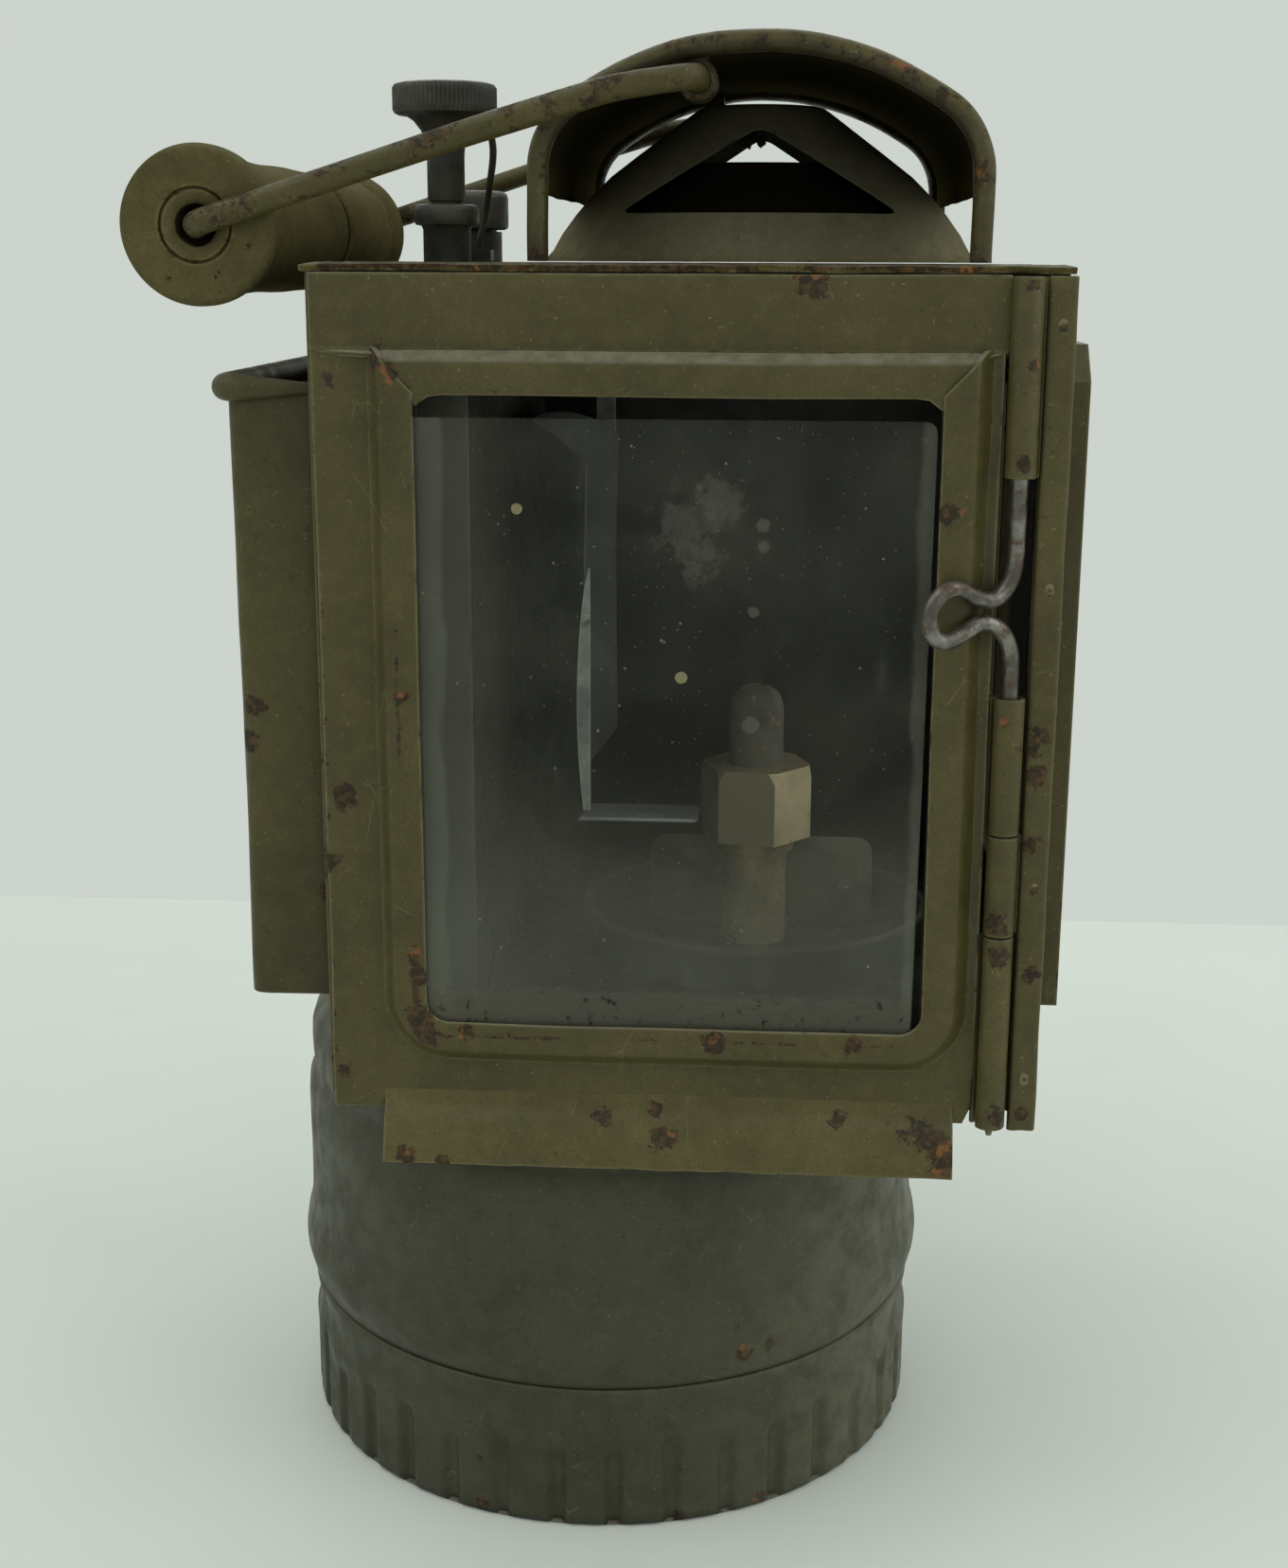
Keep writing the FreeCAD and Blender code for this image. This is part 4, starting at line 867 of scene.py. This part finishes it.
def outer_loop():
    """The door's outline, with as many points as the loops about the window."""
    inner = frame_loop(8.4)
    left, right, low = DOOR_LOW.x, 69.4, 86.2
    cx, cz = (WINDOW["left"] + WINDOW["right"]) / 2, WINDOW["low"] + CORNER
    points = []
    for x, z in inner:
        if z > cz:
            points.append((left if x < cx else right, z))
            continue
        centre_x = WINDOW["left"] + CORNER if x < cx else WINDOW["right"] - CORNER
        across, down = x - centre_x, z - cz
        if WINDOW["left"] + CORNER <= x <= WINDOW["right"] - CORNER:
            points.append((x, low))
            continue
        reach_x = (left - centre_x if across < 0 else right - centre_x)
        scale = min(reach_x / across if abs(across) > 1e-6 else 1e9,
                    (low - cz) / down if abs(down) > 1e-6 else 1e9)
        points.append((centre_x + across * scale, cz + down * scale))
    return points


def door_frame():
    """The pressed door sheet: raised window frame, mitred rail ends and a folded outer edge."""
    loops, heights = [], []
    for distance in (0, 0.15, 0.45, 0.9, 2.2, 3.6, 5.0, 5.5, 6.0, 6.5, 7.0, 7.5, 8.0, 8.4):
        loops.append(frame_loop(distance))
        heights.append(press_height(distance))
    outline = outer_loop()
    for share in (0.2, 0.45, 0.7, 0.9, 0.97, 1.0):
        inner = loops[13]
        loops.append([(a + (c - a) * share, b + (d - b) * share) for (a, b), (c, d) in zip(inner, outline)])
        heights.append(-0.08 * (1 - share) - (0.35 if share == 1.0 else 0.08 if share == 0.97 else 0.0))
    verts = [(x, SHEET_Y - height, z) for loop, height in zip(loops, heights) for x, z in loop]
    verts = dented(verts, 0.22, 24.0, 3.0)
    faces = grid_faces(len(loops), len(loops[0]))
    made = piece("door_pressing", verts, faces, "door", M["door"], ("door_frame",))
    gauge_inwards(made, (0, -1, 0))


def gauge_inwards(thing, direction):
    """Thicken a door sheet on the side away from a direction."""
    thicken(thing, SHEET_GAUGE, offset=-1.0 if outward(thing, direction) else 1.0)


def outward(thing, direction):
    """True if the mesh's faces mostly look along a direction."""
    total = Vector((0, 0, 0))
    for face in thing.data.polygons:
        total += face.normal * face.area
    return total.dot(Vector(direction)) > 0


def door_top_rail():
    """The separate top sheet: flat above, pressed forward below, cut on the mitre."""
    rows = [(233.0, -0.6), (232.9, -0.15), (232.4, 0.0), (229.0, 0.02), (225.5, 0.0), (222.6, 0.0),
            (MITRE_TOP, 0.02)]
    verts, faces = [], []
    columns = 40

    def side_edges(z):
        if z >= MITRE_TOP:
            return DOOR_LOW.x, 70.0
        drop = z - WINDOW["high"]
        return WINDOW["left"] - drop + 0.2, WINDOW["right"] + drop - 0.2

    lower = [(WINDOW["high"] + d, press_height(d) - 0.55)
             for d in (7.3, 6.6, 6.0, 5.5, 5.0, 3.6, 2.2, 0.9, 0.45, 0.0)]
    across = side_edges(MITRE_TOP - 0.01)
    for z, out in rows:
        full = side_edges(z)
        xs = [full[0] + (across[0] - full[0]) * k / 4 for k in range(4)]
        xs += [across[0] + (across[1] - across[0]) * k / columns for k in range(columns + 1)]
        xs += [across[1] + (full[1] - across[1]) * k / 4 for k in range(1, 5)]
        verts += [(x, SHEET_Y - out - 0.12, z) for x in xs]
    width = columns + 9
    faces += grid_faces(len(rows), width)
    previous = [(len(rows) - 1) * width + 4 + k for k in range(columns + 1)]
    for z, out in lower:
        left, right = side_edges(z)
        start = len(verts)
        radius = 3.5 * max(0.0, 1 - (z - WINDOW["high"]) / 3.0)
        for k in range(columns + 1):
            x = left + (right - left) * k / columns
            corner = max(0.0, radius - min(x - left, right - x))
            verts.append((x, SHEET_Y - out - 0.12, z - corner * corner / max(radius, 1e-6) * 0.55))
        row = list(range(start, start + columns + 1))
        faces += [(previous[k], previous[k + 1], row[k + 1], row[k]) for k in range(columns)]
        previous = row
    verts = dented(verts, 0.2, 26.0, 8.0)
    made = piece("door_head_pressing", verts, faces, "door", M["door"], ("door_top_rail",))
    gauge_inwards(made, (0, -1, 0))


def door_lip():
    """The flared lip under the door, bent out of the sheet and slightly wavy."""
    profile = [(-64.9, 90.5), (-65.55, 89.6), (-65.6, 88.4), (-66.0, 87.2), (-66.9, 85.9), (-67.9, 83.8),
               (-68.8, 81.4), (-69.5, 79.0), (-69.85, 77.4)]
    columns = 60
    verts = []
    for y, z in profile:
        for k in range(columns + 1):
            x = -35.7 + 101.8 * k / columns
            ripple = 0.25 * noise.noise(Vector((x / 9.0, z / 15.0, 4.0)))
            verts.append((x, y + ripple * (z < 88),
                          z + (0.3 * noise.noise(Vector((x / 6.0, 2.0, 0))) if z < 78 else 0)))
    made = piece("door_lip", verts, grid_faces(len(profile), columns + 1), "door", M["lip"])
    gauge_inwards(made, (0, -1, 0.3))


HINGE = Vector((72.5, -66.0, 0))


def knuckle_outline(leaf_x, side):
    """A sheet strip that comes from the leaf, passes behind the pin and rolls round it."""
    middle, half = 2.2, 0.44
    line = [Vector((leaf_x, -64.75)), Vector((HINGE.x - side * 2.6, -64.4))]
    sweep_angles = [math.radians(118 - 290 * k / 26) for k in range(27)]
    for angle in sweep_angles:
        line.append(Vector((HINGE.x + side * middle * math.cos(angle), HINGE.y + middle * math.sin(angle))))
    left, right = [], []
    for index, point in enumerate(line):
        ahead = line[min(index + 1, len(line) - 1)] - line[max(index - 1, 0)]
        normal = Vector((-ahead.y, ahead.x)).normalized()
        left.append(point + normal * half)
        right.append(point - normal * half)
    return [tuple(p) for p in left + list(reversed(right))]


def knuckles():
    """Rolled knuckles of both leaves, each a strip bent round the pin."""
    groups = (("door_knuckle_upper", 140.1, 163.8, 69.2, 1, "door"),
              ("door_knuckle_lower", 86.3, 121.7, 69.2, 1, "door"),
              ("fixed_knuckle_upper", 200.6, 232.8, 75.9, -1, "lamp"),
              ("fixed_knuckle_middle", 122.0, 139.8, 75.9, -1, "lamp"))
    for name, low, high, leaf_x, side, body in groups:
        verts, faces = extrude_outline(knuckle_outline(leaf_x, side), low, high)
        made = piece(name, verts, faces, body, M["hinge"], smooth=50)
        applied(soften(made, 0.22, 50), 50)


def hinge_leaf():
    """The fixed leaf: a long strip with rolled edges and a wavy outer side."""
    outline = [(75.75, -64.3), (75.7, -65.0), (75.95, -65.45), (76.6, -65.6), (78.2, -65.35), (79.6, -65.5),
               (80.3, -65.45), (80.6, -65.0), (80.55, -64.2), (79.4, -63.95), (76.4, -63.95)]
    rows = 60
    verts = []
    for row in range(rows + 1):
        z = 85.2 + 147.7 * row / rows
        drift = 0.18 * noise.noise(Vector((1.0, 7.0, z / 14.0)))
        verts += [(x + drift * (x > 79), y, z) for x, y in outline]
    count = len(outline)
    faces = grid_faces(rows + 1, count, wrap=True)
    faces += [tuple(range(count)), tuple(range(rows * count, (rows + 1) * count))]
    made = piece("hinge_strip", verts, faces, "lamp", M["hinge"], ("hinge_leaf",), smooth=40)
    applied(soften(made, 0.25, 45), 40)


def leaf_welds():
    """The flush round marks where the hinge leaf is fixed."""
    radius = (WELD_HIGH.x - WELD_LOW.x) / 2
    x = (WELD_LOW.x + WELD_HIGH.x) / 2
    face = WELD_HIGH.y
    lift = 0.04
    profile = [(0.3, face - lift), (radius - 0.3, face - lift), (radius, face + 0.1), (0.3, face + 0.1)]
    verts, faces = [], []
    for height in (WELD_LOW.z + radius, 130.0, 182.0, WELD_HIGH.z - radius):
        disc, sides = lathe_lying(profile, 32, Vector((x, 0, height)))
        faces += [tuple(i + len(verts) for i in side) for side in sides]
        verts += disc
    piece("leaf_welds", verts, faces, "lamp", M["hinge"], ("hinge_rivets",), smooth=60)


def hinge_pin():
    """The hinge wire with its bent finger loop."""
    lean = math.radians(29)
    away = Vector((-math.cos(lean), -math.sin(lean), 0))
    marks = [(0, 232.6), (0, 215), (0, 200), (0, 192), (0.1, 186.6), (1.2, 183.2), (3.8, 180.9),
             (7.2, 181.3),
             (10.8, 182.9), (13.8, 182.6), (16.0, 180.4), (16.5, 177.6), (15.4, 175.2), (12.9, 174.3),
             (9.6, 175.6),
             (6.4, 177.0), (3.4, 176.2), (1.1, 173.9), (0.1, 170.6), (0, 167), (0, 160), (0, 140), (0, 110),
             (0, 84.6)]
    path = smooth_path([HINGE + away * out + Vector((0, 0, z)) for out, z in marks], 6)
    verts, faces = wire(path, 1.42, 0.05)
    piece("hinge_wire", verts, faces, "door", M["steel"], ("hinge_pin",), smooth=60)


def door_glass():
    """The pane, set a little askew, with ground edges."""
    left, right = GLASS_LOW.x, 58.0
    low, high = GLASS_LOW.z, GLASS_HIGH.z
    outline = rounded([(left, 0, low), (right, 0, low), (right + 0.9, 0, high), (left + 0.9, 0, high)], 2.5,
                      5, True)
    verts, faces = extrude_outline([(p.x, p.z) for p in outline], GLASS_LOW.y, GLASS_HIGH.y, "Y")
    made = piece("window_pane", verts, faces, "door", M["glass"], ("door_glass",))
    applied(soften(made, 0.3, 50), 40)


# ------------------------------------------------------------------ hood, chimney and roof
ARCH_X = 28.8


def arch_path(inset, foot, steps=14):
    """An arch line from the left foot over the crown to the right foot."""
    half, corner, crown, corner_z, crown_top = 39.4, 16.0, 56.3, 249.0, FRONT_HIGH.z
    crown_z = crown_top - crown
    corner_x = half - corner
    slope = math.atan2(corner_x, corner_z - crown_z)
    right = [Vector((half - inset, 0, foot + (corner_z - foot) * k / 5)) for k in range(5)]
    for k in range(steps):
        angle = math.pi / 2 - (math.pi / 2 - slope) * k / steps
        right.append(Vector((corner_x + (corner - inset) * math.sin(angle), 0,
                             corner_z + (corner - inset) * math.cos(angle))))
    for k in range(steps + 1):
        angle = slope * (1 - k / steps)
        right.append(Vector(((crown - inset) * math.sin(angle), 0,
                             crown_z + (crown - inset) * math.cos(angle))))
    left = [Vector((-p.x, 0, p.z)) for p in right[:-1]]
    return [Vector((p.x + ARCH_X, 0, p.z)) for p in left + list(reversed(right))]


def rolled_section(width, depth, steps=20):
    """A flattened round section."""
    points = []
    for k in range(steps):
        angle = TURN * k / steps
        c, s = math.cos(angle), math.sin(angle)
        points.append((math.copysign(abs(c) ** 0.75, c) * width / 2,
                       math.copysign(abs(s) ** 0.75, s) * depth / 2))
    return points


def hood():
    """The two rolled end frames and the arched sheet between them."""
    foot = ROOF_HIGH.z
    for name, node, low, high in (("hood_rim_front", "cowl_frame_front", FRONT_LOW, FRONT_HIGH),
                                  ("hood_rim_rear", "cowl_frame_rear", REAR_LOW, REAR_HIGH)):
        middle = (low.y + high.y) / 2
        path = [Vector((p.x, middle, p.z)) for p in arch_path(2.6, foot)]

        def section(share):
            leg = max(0.0, 1 - min(share, 1 - share) * 5)
            width = 5.2 + (1.5 if share > 0.5 else 0.3) * min(1.0, leg * 2)
            return rolled_section(high.y - low.y, width)
        verts, faces = sweep(path, section, Vector((0, 0, 1)))
        verts = dented(verts, 0.25, 12.0, low.y)
        piece(name, verts, faces, "lamp", M["hood"], (node,), smooth=60)
    path = arch_path(2.3, 246.0)
    rows = 24
    verts = []
    for row in range(rows + 1):
        y = COWL_LOW.y + (COWL_HIGH.y - COWL_LOW.y) * row / rows
        verts += [(p.x, y, p.z) for p in path]
    verts = dented(verts, 0.35, 18.0, 1.0)
    made = piece("hood_sheet", verts, grid_faces(rows + 1, len(path)), "lamp",
                 M["hood_sheet"],
                 ("cowl_sheet",))
    thicken(made, 0.9, offset=0.0)


def chimney():
    """The cone with a triangular window before and behind, a small foot flange and a flat crown."""
    centre = CHIMNEY_X
    low = CONE_LOW.z
    outer = [(40.9, low), (40.8, low + 0.7), (39.6, 236.8), (37.9, 239.8), (35.2, 243.4), (32.6, 246.4),
             (30.4, 248.6), (28.5, 250.4), (22.9, 254.6), (17.2, 258.8), (13.0, 261.9), (11.8, 262.7),
             (10.6, 263),
             (0.5, 263)]
    inner = [(max(r - 1.1, 0.5), z - (0.9 if r < 28 else 0.0))
             for r, z in reversed(outer[1:])] + [(39.8, low)]
    verts, faces = lathe(outer + inner, 144, (centre, 0))
    made = piece("chimney_hood", verts, faces, "lamp", M["cone"], ("chimney_cone",),
                 smooth=40)
    corners = [Vector((-25.3, 0, 243.2)), Vector((25.3, 0, 243.2)), Vector((0, 0, 258.6))]
    outline = rounded(corners, 2.6, 6, True)
    tool_verts, tool_faces = extrude_outline([(centre + p.x, p.z) for p in outline], -46, 46, "Y")
    carve(made, raw_object("window_tool", tool_verts, tool_faces))
    shade(made.data, 40)


def soot_flakes():
    """Flakes of soot that hang from the tip of the front chimney window."""
    random.seed(5)
    for number in range(7):
        x = 27.0 + number * 0.75 - 2.2
        drop = 1.0 + random.random() * 1.6
        path = [Vector((x, -17.2, 257.6)), Vector((x + random.uniform(-0.5, 0.3), -17.4, 257.3 - drop / 2)),
                Vector((x + random.uniform(-0.9, 0.3), -17.5, 257.1 - drop))]
        verts, faces = wire(smooth_path(path, 3), 0.35 + random.random() * 0.3, 0.6, 7)
        piece(f"soot_flake_{number}", verts, faces, "lamp", M["soot"])


def roof():
    """The roof sheet with a rolled, slightly lifted front edge and a round smoke opening."""
    low, high = ROOF_LOW, ROOF_HIGH
    columns, rows = 90, 60
    verts = []
    for row in range(rows + 1):
        y = low.y + (high.y - low.y) * row / rows
        for column in range(columns + 1):
            x = low.x + (high.x - low.x) * column / columns
            edge = min(x - low.x, high.x - x, y - low.y, high.y - y)
            lift = 0.35 * noise.noise(Vector((x / 7, y / 7, 3))) * max(0.0, 1 - edge / 5)
            verts.append((x, y, high.z - 0.25 + lift * 0.6 - 0.3 * max(0.0, 1 - edge / 1.2)))
    made = piece("roof_sheet", verts, grid_faces(rows + 1, columns + 1), "lamp", M["roof"],
                 ("roof_plate",))
    thicken(made, 1.1, offset=-1.0 if outward(made, (0, 0, 1)) else 1.0)
    tool_verts, tool_faces = lathe([(36, low.z - 5), (36, high.z + 5), (0.5, high.z + 5), (0.5, low.z - 5)],
                                   96,
                                   (28.5, 0))
    carve(made, raw_object("roof_tool", tool_verts, tool_faces))


# ------------------------------------------------------------------ bail and grip
def bail():
    """The bail wire, rubbed and slightly kinked, from one socket through the grip to the other."""
    x, z, half = 18.4, 263.9, 64.2
    grip_x, grip_z = -64.35, 240.4
    front = [(x, -46, z), (x, -61.3, z), (x - 13, -61.6, z - 1.8), (x - 36, -62.4, z - 8.6),
             (grip_x, -half, grip_z)]
    points = front + [(a, -b, c) for a, b, c in reversed(front)]
    path = rounded(points, 4.2, 8)
    dense = []
    for start, end in zip(path, path[1:]):
        count = max(1, int((end - start).length / 3.0))
        dense += [start.lerp(end, k / count) for k in range(count)]
    dense.append(path[-1])
    verts, faces = wire(dense, 2.12, 0.06, 18)
    piece("bail_wire", verts, faces, "bail", M["wire"], ("bail",), smooth=60)


def grip():
    """The turned grip with flanges, an inlaid end ring and a dark ring groove."""
    rim = (GRIP_HIGH.z - GRIP_LOW.z) / 2
    half = (GRIP_HIGH.y - GRIP_LOW.y) / 2
    barrel = rim - 1.7
    end = [(2.25, -half + 6), (3.3, -half + 5.6), (3.5, -half + 0.5), (3.9, -half + 0.1), (4.6, -half),
           (5.7, -half),
           (5.85, -half + 0.55), (6.15, -half + 0.55), (6.3, -half), (rim - 1.9, -half),
           (rim - 0.9, -half + 0.25),
           (rim - 0.25, -half + 0.9), (rim, -half + 1.8), (rim, -half + 3.8), (rim - 0.2, -half + 4.8),
           (rim - 0.9, -half + 5.8), (barrel - 0.2, -half + 6.6), (barrel, -half + 8.0)]
    groove = 10.0
    middle = [(barrel + 0.15 * math.sin(k), -half + 8 + (groove + half - 11) * k / 10)
              for k in range(1, 10)]
    ring = [(barrel, groove - 2.2), (barrel - 0.9, groove - 1.4), (barrel - 0.9, groove + 1.4),
            (barrel, groove + 2.2)]
    profile = end + middle + ring + [(r, -y) for r, y in reversed(end)]
    centre = (GRIP_LOW + GRIP_HIGH) / 2
    verts, faces = lathe_lying(profile, 96, centre)
    piece("handle_grip", verts, faces, "grip", M["grip"], ("grip",), smooth=40)
    # A near-black band laid into the ring groove, coloured with the soot finish.
    band = [(barrel - 0.8, groove - 1.4), (barrel - 0.4, groove - 1.2), (barrel - 0.4, groove + 1.2),
            (barrel - 0.8, groove + 1.4)]
    verts, faces = lathe_lying(band, 96, centre)
    piece("grip_band", verts, faces, "grip", M["soot"], smooth=40)


# ------------------------------------------------------------------ valve and filler
def valve():
    """The knurled knob on its flared neck, and the gland below it."""
    centre = ((KNOB_LOW.x + KNOB_HIGH.x) / 2, 0)
    profile = [(1.35, 229.6), (2.95, 229.6), (2.95, 245.7), (3.4, 245.9), (3.6, 246.4), (3.6, 254),
               (3.8, 256.5),
               (4.6, 258.8), (6.0, 260.6), (7.4, 261.5), (8.9, 261.65), (9.6, 262.0), (9.95, 262.6),
               (9.95, 263.4),
               (9.95, 264.6), (9.95, 265.8), (9.95, 266.6), (9.5, 267.2), (8.4, 267.5), (4.0, 267.7),
               (0.4, 267.75), (0.4, 248.7), (1.35, 248.6)]

    def knurl(radius, height, angle):
        if radius < 9.9:
            return radius
        return radius - 0.32 * (0.5 + 0.5 * math.cos(angle * 72))

    verts, faces = lathe(profile, 432, centre, knurl)
    piece("knurled_knob", verts, faces, "knob", M["knob"], ("valve_knob",), smooth=35)
    ring = [(3.06, 228.6), (4.6, 228.6), (4.6, 240.6), (4.9, 241.3), (6.0, 241.5), (6.25, 242.1),
            (6.25, 244.3),
            (5.9, 245.1), (5.2, 245.3), (3.06, 245.3)]
    verts, faces = lathe(ring, 64, centre)
    piece("valve_collar", verts, faces, "lamp", M["knob"], ("valve_gland",), smooth=40)


def filler():
    """The push-on filler cap with a plain grip band."""
    centre = ((CAP_LOW.x + CAP_HIGH.x) / 2, (CAP_LOW.y + CAP_HIGH.y) / 2)
    profile = [(0.4, 234.6), (4.3, 234.6), (4.5, 235), (4.5, 241.05), (6.3, 241.1), (6.9, 241.5),
               (7.0, 242.2),
               (7.0, 247.4), (6.7, 248.3), (6.0, 248.8), (5.0, 249.0), (0.4, 249.0)]
    verts, faces = lathe(profile, 96, centre)
    piece("filler_lid", verts, faces, "filler_cap", M["knob"], ("filler_cap",), smooth=40)


def click_spring():
    """The bent click wire beside the valve."""
    x = (KNOB_LOW.x + KNOB_HIGH.x) / 2
    points = [(x + 4, 13, 237.3), (x + 5.6, 13, 243), (x + 6.8, 11.4, 249), (x + 8.0, 8.6, 255.5),
              (x + 7.6, 5.6, 260.7)]
    verts, faces = wire(smooth_path(points, 6), 0.7, 0.05, 10)
    piece("click_wire", verts, faces, "lamp", M["knob"], ("detent_spring",), smooth=60)


# ------------------------------------------------------------------ side pocket
def pocket():
    """The open pocket: a bent sheet with rounded corners, a floor and a rolled rim."""
    left, right = -61.6, HEAD_LOW.x - 0.1
    front, rear = -56.4, 56.4
    low, high = POCKET_LOW.z, POCKET_HIGH.z - 2.4
    plan = rounded([(right, front, 0), (left, front, 0), (left, rear, 0), (right, rear, 0)], 3.0, 6)
    dense = []
    for start, end in zip(plan, plan[1:]):
        count = max(1, int((end - start).length / 4.0))
        dense += [start.lerp(end, k / count) for k in range(count)]
    dense.append(plan[-1])
    rows = 34
    verts = []
    for row in range(rows + 1):
        z = low + (high - low) * row / rows
        bulge = 0.5 * math.sin(math.pi * row / rows)
        verts += [(p.x + (bulge * 0.4 if p.x < -50 else 0), p.y, z) for p in dense]
    verts = dented(verts, 0.4, 22.0, 5.0, lambda p: 1.0 if p.x < -50 else 0.15)
    made = piece("pocket_wall", verts, grid_faces(rows + 1, len(dense)), "lamp", M["pocket"],
                 ("side_pocket",))
    thicken(made, 0.9, offset=0.0)
    outline = [(p.x, p.y) for p in plan]
    verts, faces = extrude_outline(outline, low + 0.1, low + 1.1)
    piece("pocket_floor", verts, faces, "lamp", M["pocket"])
    rim_path = rounded([(right - 0.3, front - 0.8, high), (left - 0.8, front - 0.8, high),
                        (left - 0.8, rear + 0.8, high), (right - 0.3, rear + 0.8, high)], 4.0, 8)
    verts, faces = wire(rim_path, 2.35, 0.04, 18)
    piece("pocket_rim", verts, faces, "lamp", M["pocket"], smooth=60)


# ------------------------------------------------------------------ burner and reflector
def burner():
    """Ceramic tip, chamfered nut and the folded wing plate."""
    x = (NUT_LOW.x + NUT_HIGH.x) / 2
    base = TIP_LOW.z
    profile = [(1.0, base), (5.5, base), (5.5, base + 10.4), (5.2, base + 12.6), (4.4, base + 14.4),
               (3.0, base + 15.6),
               (1.6, base + 16.0), (1.2, base + 15.2), (1.0, base + 12)]
    verts, faces = lathe(profile, 64, (x, 0))
    piece("burner_stone", verts, faces, "lamp", M["stone"], ("burner_tip",), smooth=50)
    for number, shift in enumerate((0.0, 1.1)):
        outline = rounded([(WING_LOW.x + shift, 0, WING_LOW.z), (WING_HIGH.x - shift, 0, WING_LOW.z),
                           (WING_HIGH.x - shift, 0, WING_HIGH.z - shift),
                           (WING_LOW.x + shift, 0, WING_HIGH.z - shift)], 4.0, 6, True)
        y = WING_LOW.y + number * 1.05
        verts, faces = extrude_outline([(p.x, p.z) for p in outline], y, y + 0.7, "Y")
        names = ("wing_plate",) if number == 0 else ()
        made = piece(f"wing_leaf_{number}", verts, faces, "lamp", M["plate"], names)
        applied(soften(made, 0.15, 45), 40)


def reflector():
    """The bowed reflector sheet, open towards the side window, with its folded foot."""
    radius = 50.0
    centre_x = MIRROR_LOW.x + radius + 1.5
    middle = (MIRROR_LOW.z + MIRROR_HIGH.z) / 2
    columns, rows = 40, 30
    low = MIRROR_LOW.z + 0.95
    verts = []
    for row in range(rows + 1):
        for column in range(columns + 1):
            y = -35.8 + 71.6 * column / columns
            cut = 10.0 * (abs(y) / 36) ** 5
            z = low + cut + (MIRROR_HIGH.z - low - cut * 1.6) * row / rows
            squeeze = 1.9 * ((z - middle) / 40) ** 2
            bow = centre_x - math.sqrt(radius * radius - y * y)
            verts.append((bow + squeeze * (1 - abs(y) / 60), y, z))
    verts = dented(verts, 0.2, 18.0, 6.0)
    made = piece("reflector_sheet", verts, grid_faces(rows + 1, columns + 1), "lamp",
                 M["mirror"],
                 ("reflector",))
    thicken(made, 0.6, offset=0.0)
    edge_x = centre_x - math.sqrt(radius * radius - 35.8 * 35.8)
    outer, inner = [], []
    for step in range(21):
        z = low + 9.4 + (MIRROR_HIGH.z - low - 34) * step / 20
        belly = math.sin(math.pi * min(1.0, (step + 2.5) / 22.5)) ** 0.7
        outer.append((edge_x + 0.7 - 2.2 * belly, z))
        inner.append((edge_x + 1.0, z))
    verts, faces = extrude_outline(outer + list(reversed(inner)), -36.0, -35.6, "Y")
    piece("reflector_rim", verts, faces, "lamp", M["mirror_edge"])
    foot = rounded([(MIRROR_LOW.x + 2, -5.8, 0), (MIRROR_HIGH.x, -5.8, 0), (MIRROR_HIGH.x, 5.8, 0),
                    (MIRROR_LOW.x + 2, 5.8, 0)], 1.5, 4, True)
    verts, faces = extrude_outline([(p.x, p.y) for p in foot], MIRROR_LOW.z, MIRROR_LOW.z + 0.8)
    made = piece("reflector_foot", verts, faces, "lamp", M["zinc"])
    applied(soften(made, 0.2, 45), 40)


def collar():
    """The rolled collar about the burner."""
    x = (COLLAR_LOW.x + COLLAR_HIGH.x) / 2
    radius = (COLLAR_HIGH.x - COLLAR_LOW.x) / 2
    low, high = COLLAR_LOW.z, COLLAR_HIGH.z
    profile = [(radius - 0.2, low), (radius - 0.2, high - 1.6), (radius, high - 0.9),
               (radius - 0.4, high - 0.1),
               (radius - 1.2, high), (radius - 2.0, high - 0.5), (radius - 2.1, high - 1.4),
               (radius - 1.6, high - 2.2),
               (radius - 1.4, low)]
    verts, faces = lathe(profile, 128, (x, 0))
    piece("burner_collar", verts, faces, "lamp", M["tank"], ("collar_ring",), smooth=60)


def dress_cad():
    """Finishes and soft edges for the CAD nodes that stay as they are."""
    finishes = {
        # floor_plate and glass_retainer take the near-black inside finish, which is painted shade.
        "housing_shell": ("head", 0.4), "floor_plate": ("inside", 0.15), "glass_retainer": ("inside", 0.15),
        "side_window_frame": ("head", 0.9), "side_glass": ("glass", 0.2), "water_tank": ("tank", 0.8),
        "gas_tube": ("tube", 0.2), "burner_nut": ("brass", 0.35), "reflector_hanger": ("mirror_edge", 0.1),
        "chimney_baffle": ("soot", 0.1),
        "bail_sockets": ("hood", 0.2), "valve_seat": ("brass", 0.1), "drip_tube": ("brass", 0.1),
        "valve_needle": ("brass", 0.05), "spring_block": ("knob", 0.3), "filler_neck": ("knob", 0.2),
        "carbide_container": ("zinc", 0.1), "pot_gasket": ("rubber", 0.1)}
    for name, (finish, width) in finishes.items():
        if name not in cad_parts:
            continue
        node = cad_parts[name]
        node.data.materials.clear()
        node.data.materials.append(M[finish])
        soften(node, width, 50)


def build():
    """Every piece of the lamp."""
    carbide_pot()
    generator()
    door_frame()
    door_top_rail()
    door_lip()
    knuckles()
    hinge_leaf()
    leaf_welds()
    hinge_pin()
    door_glass()
    hood()
    chimney()
    soot_flakes()
    roof()
    bail()
    grip()
    valve()
    filler()
    click_spring()
    pocket()
    burner()
    reflector()
    collar()
    dress_cad()


stage_setting()
build()
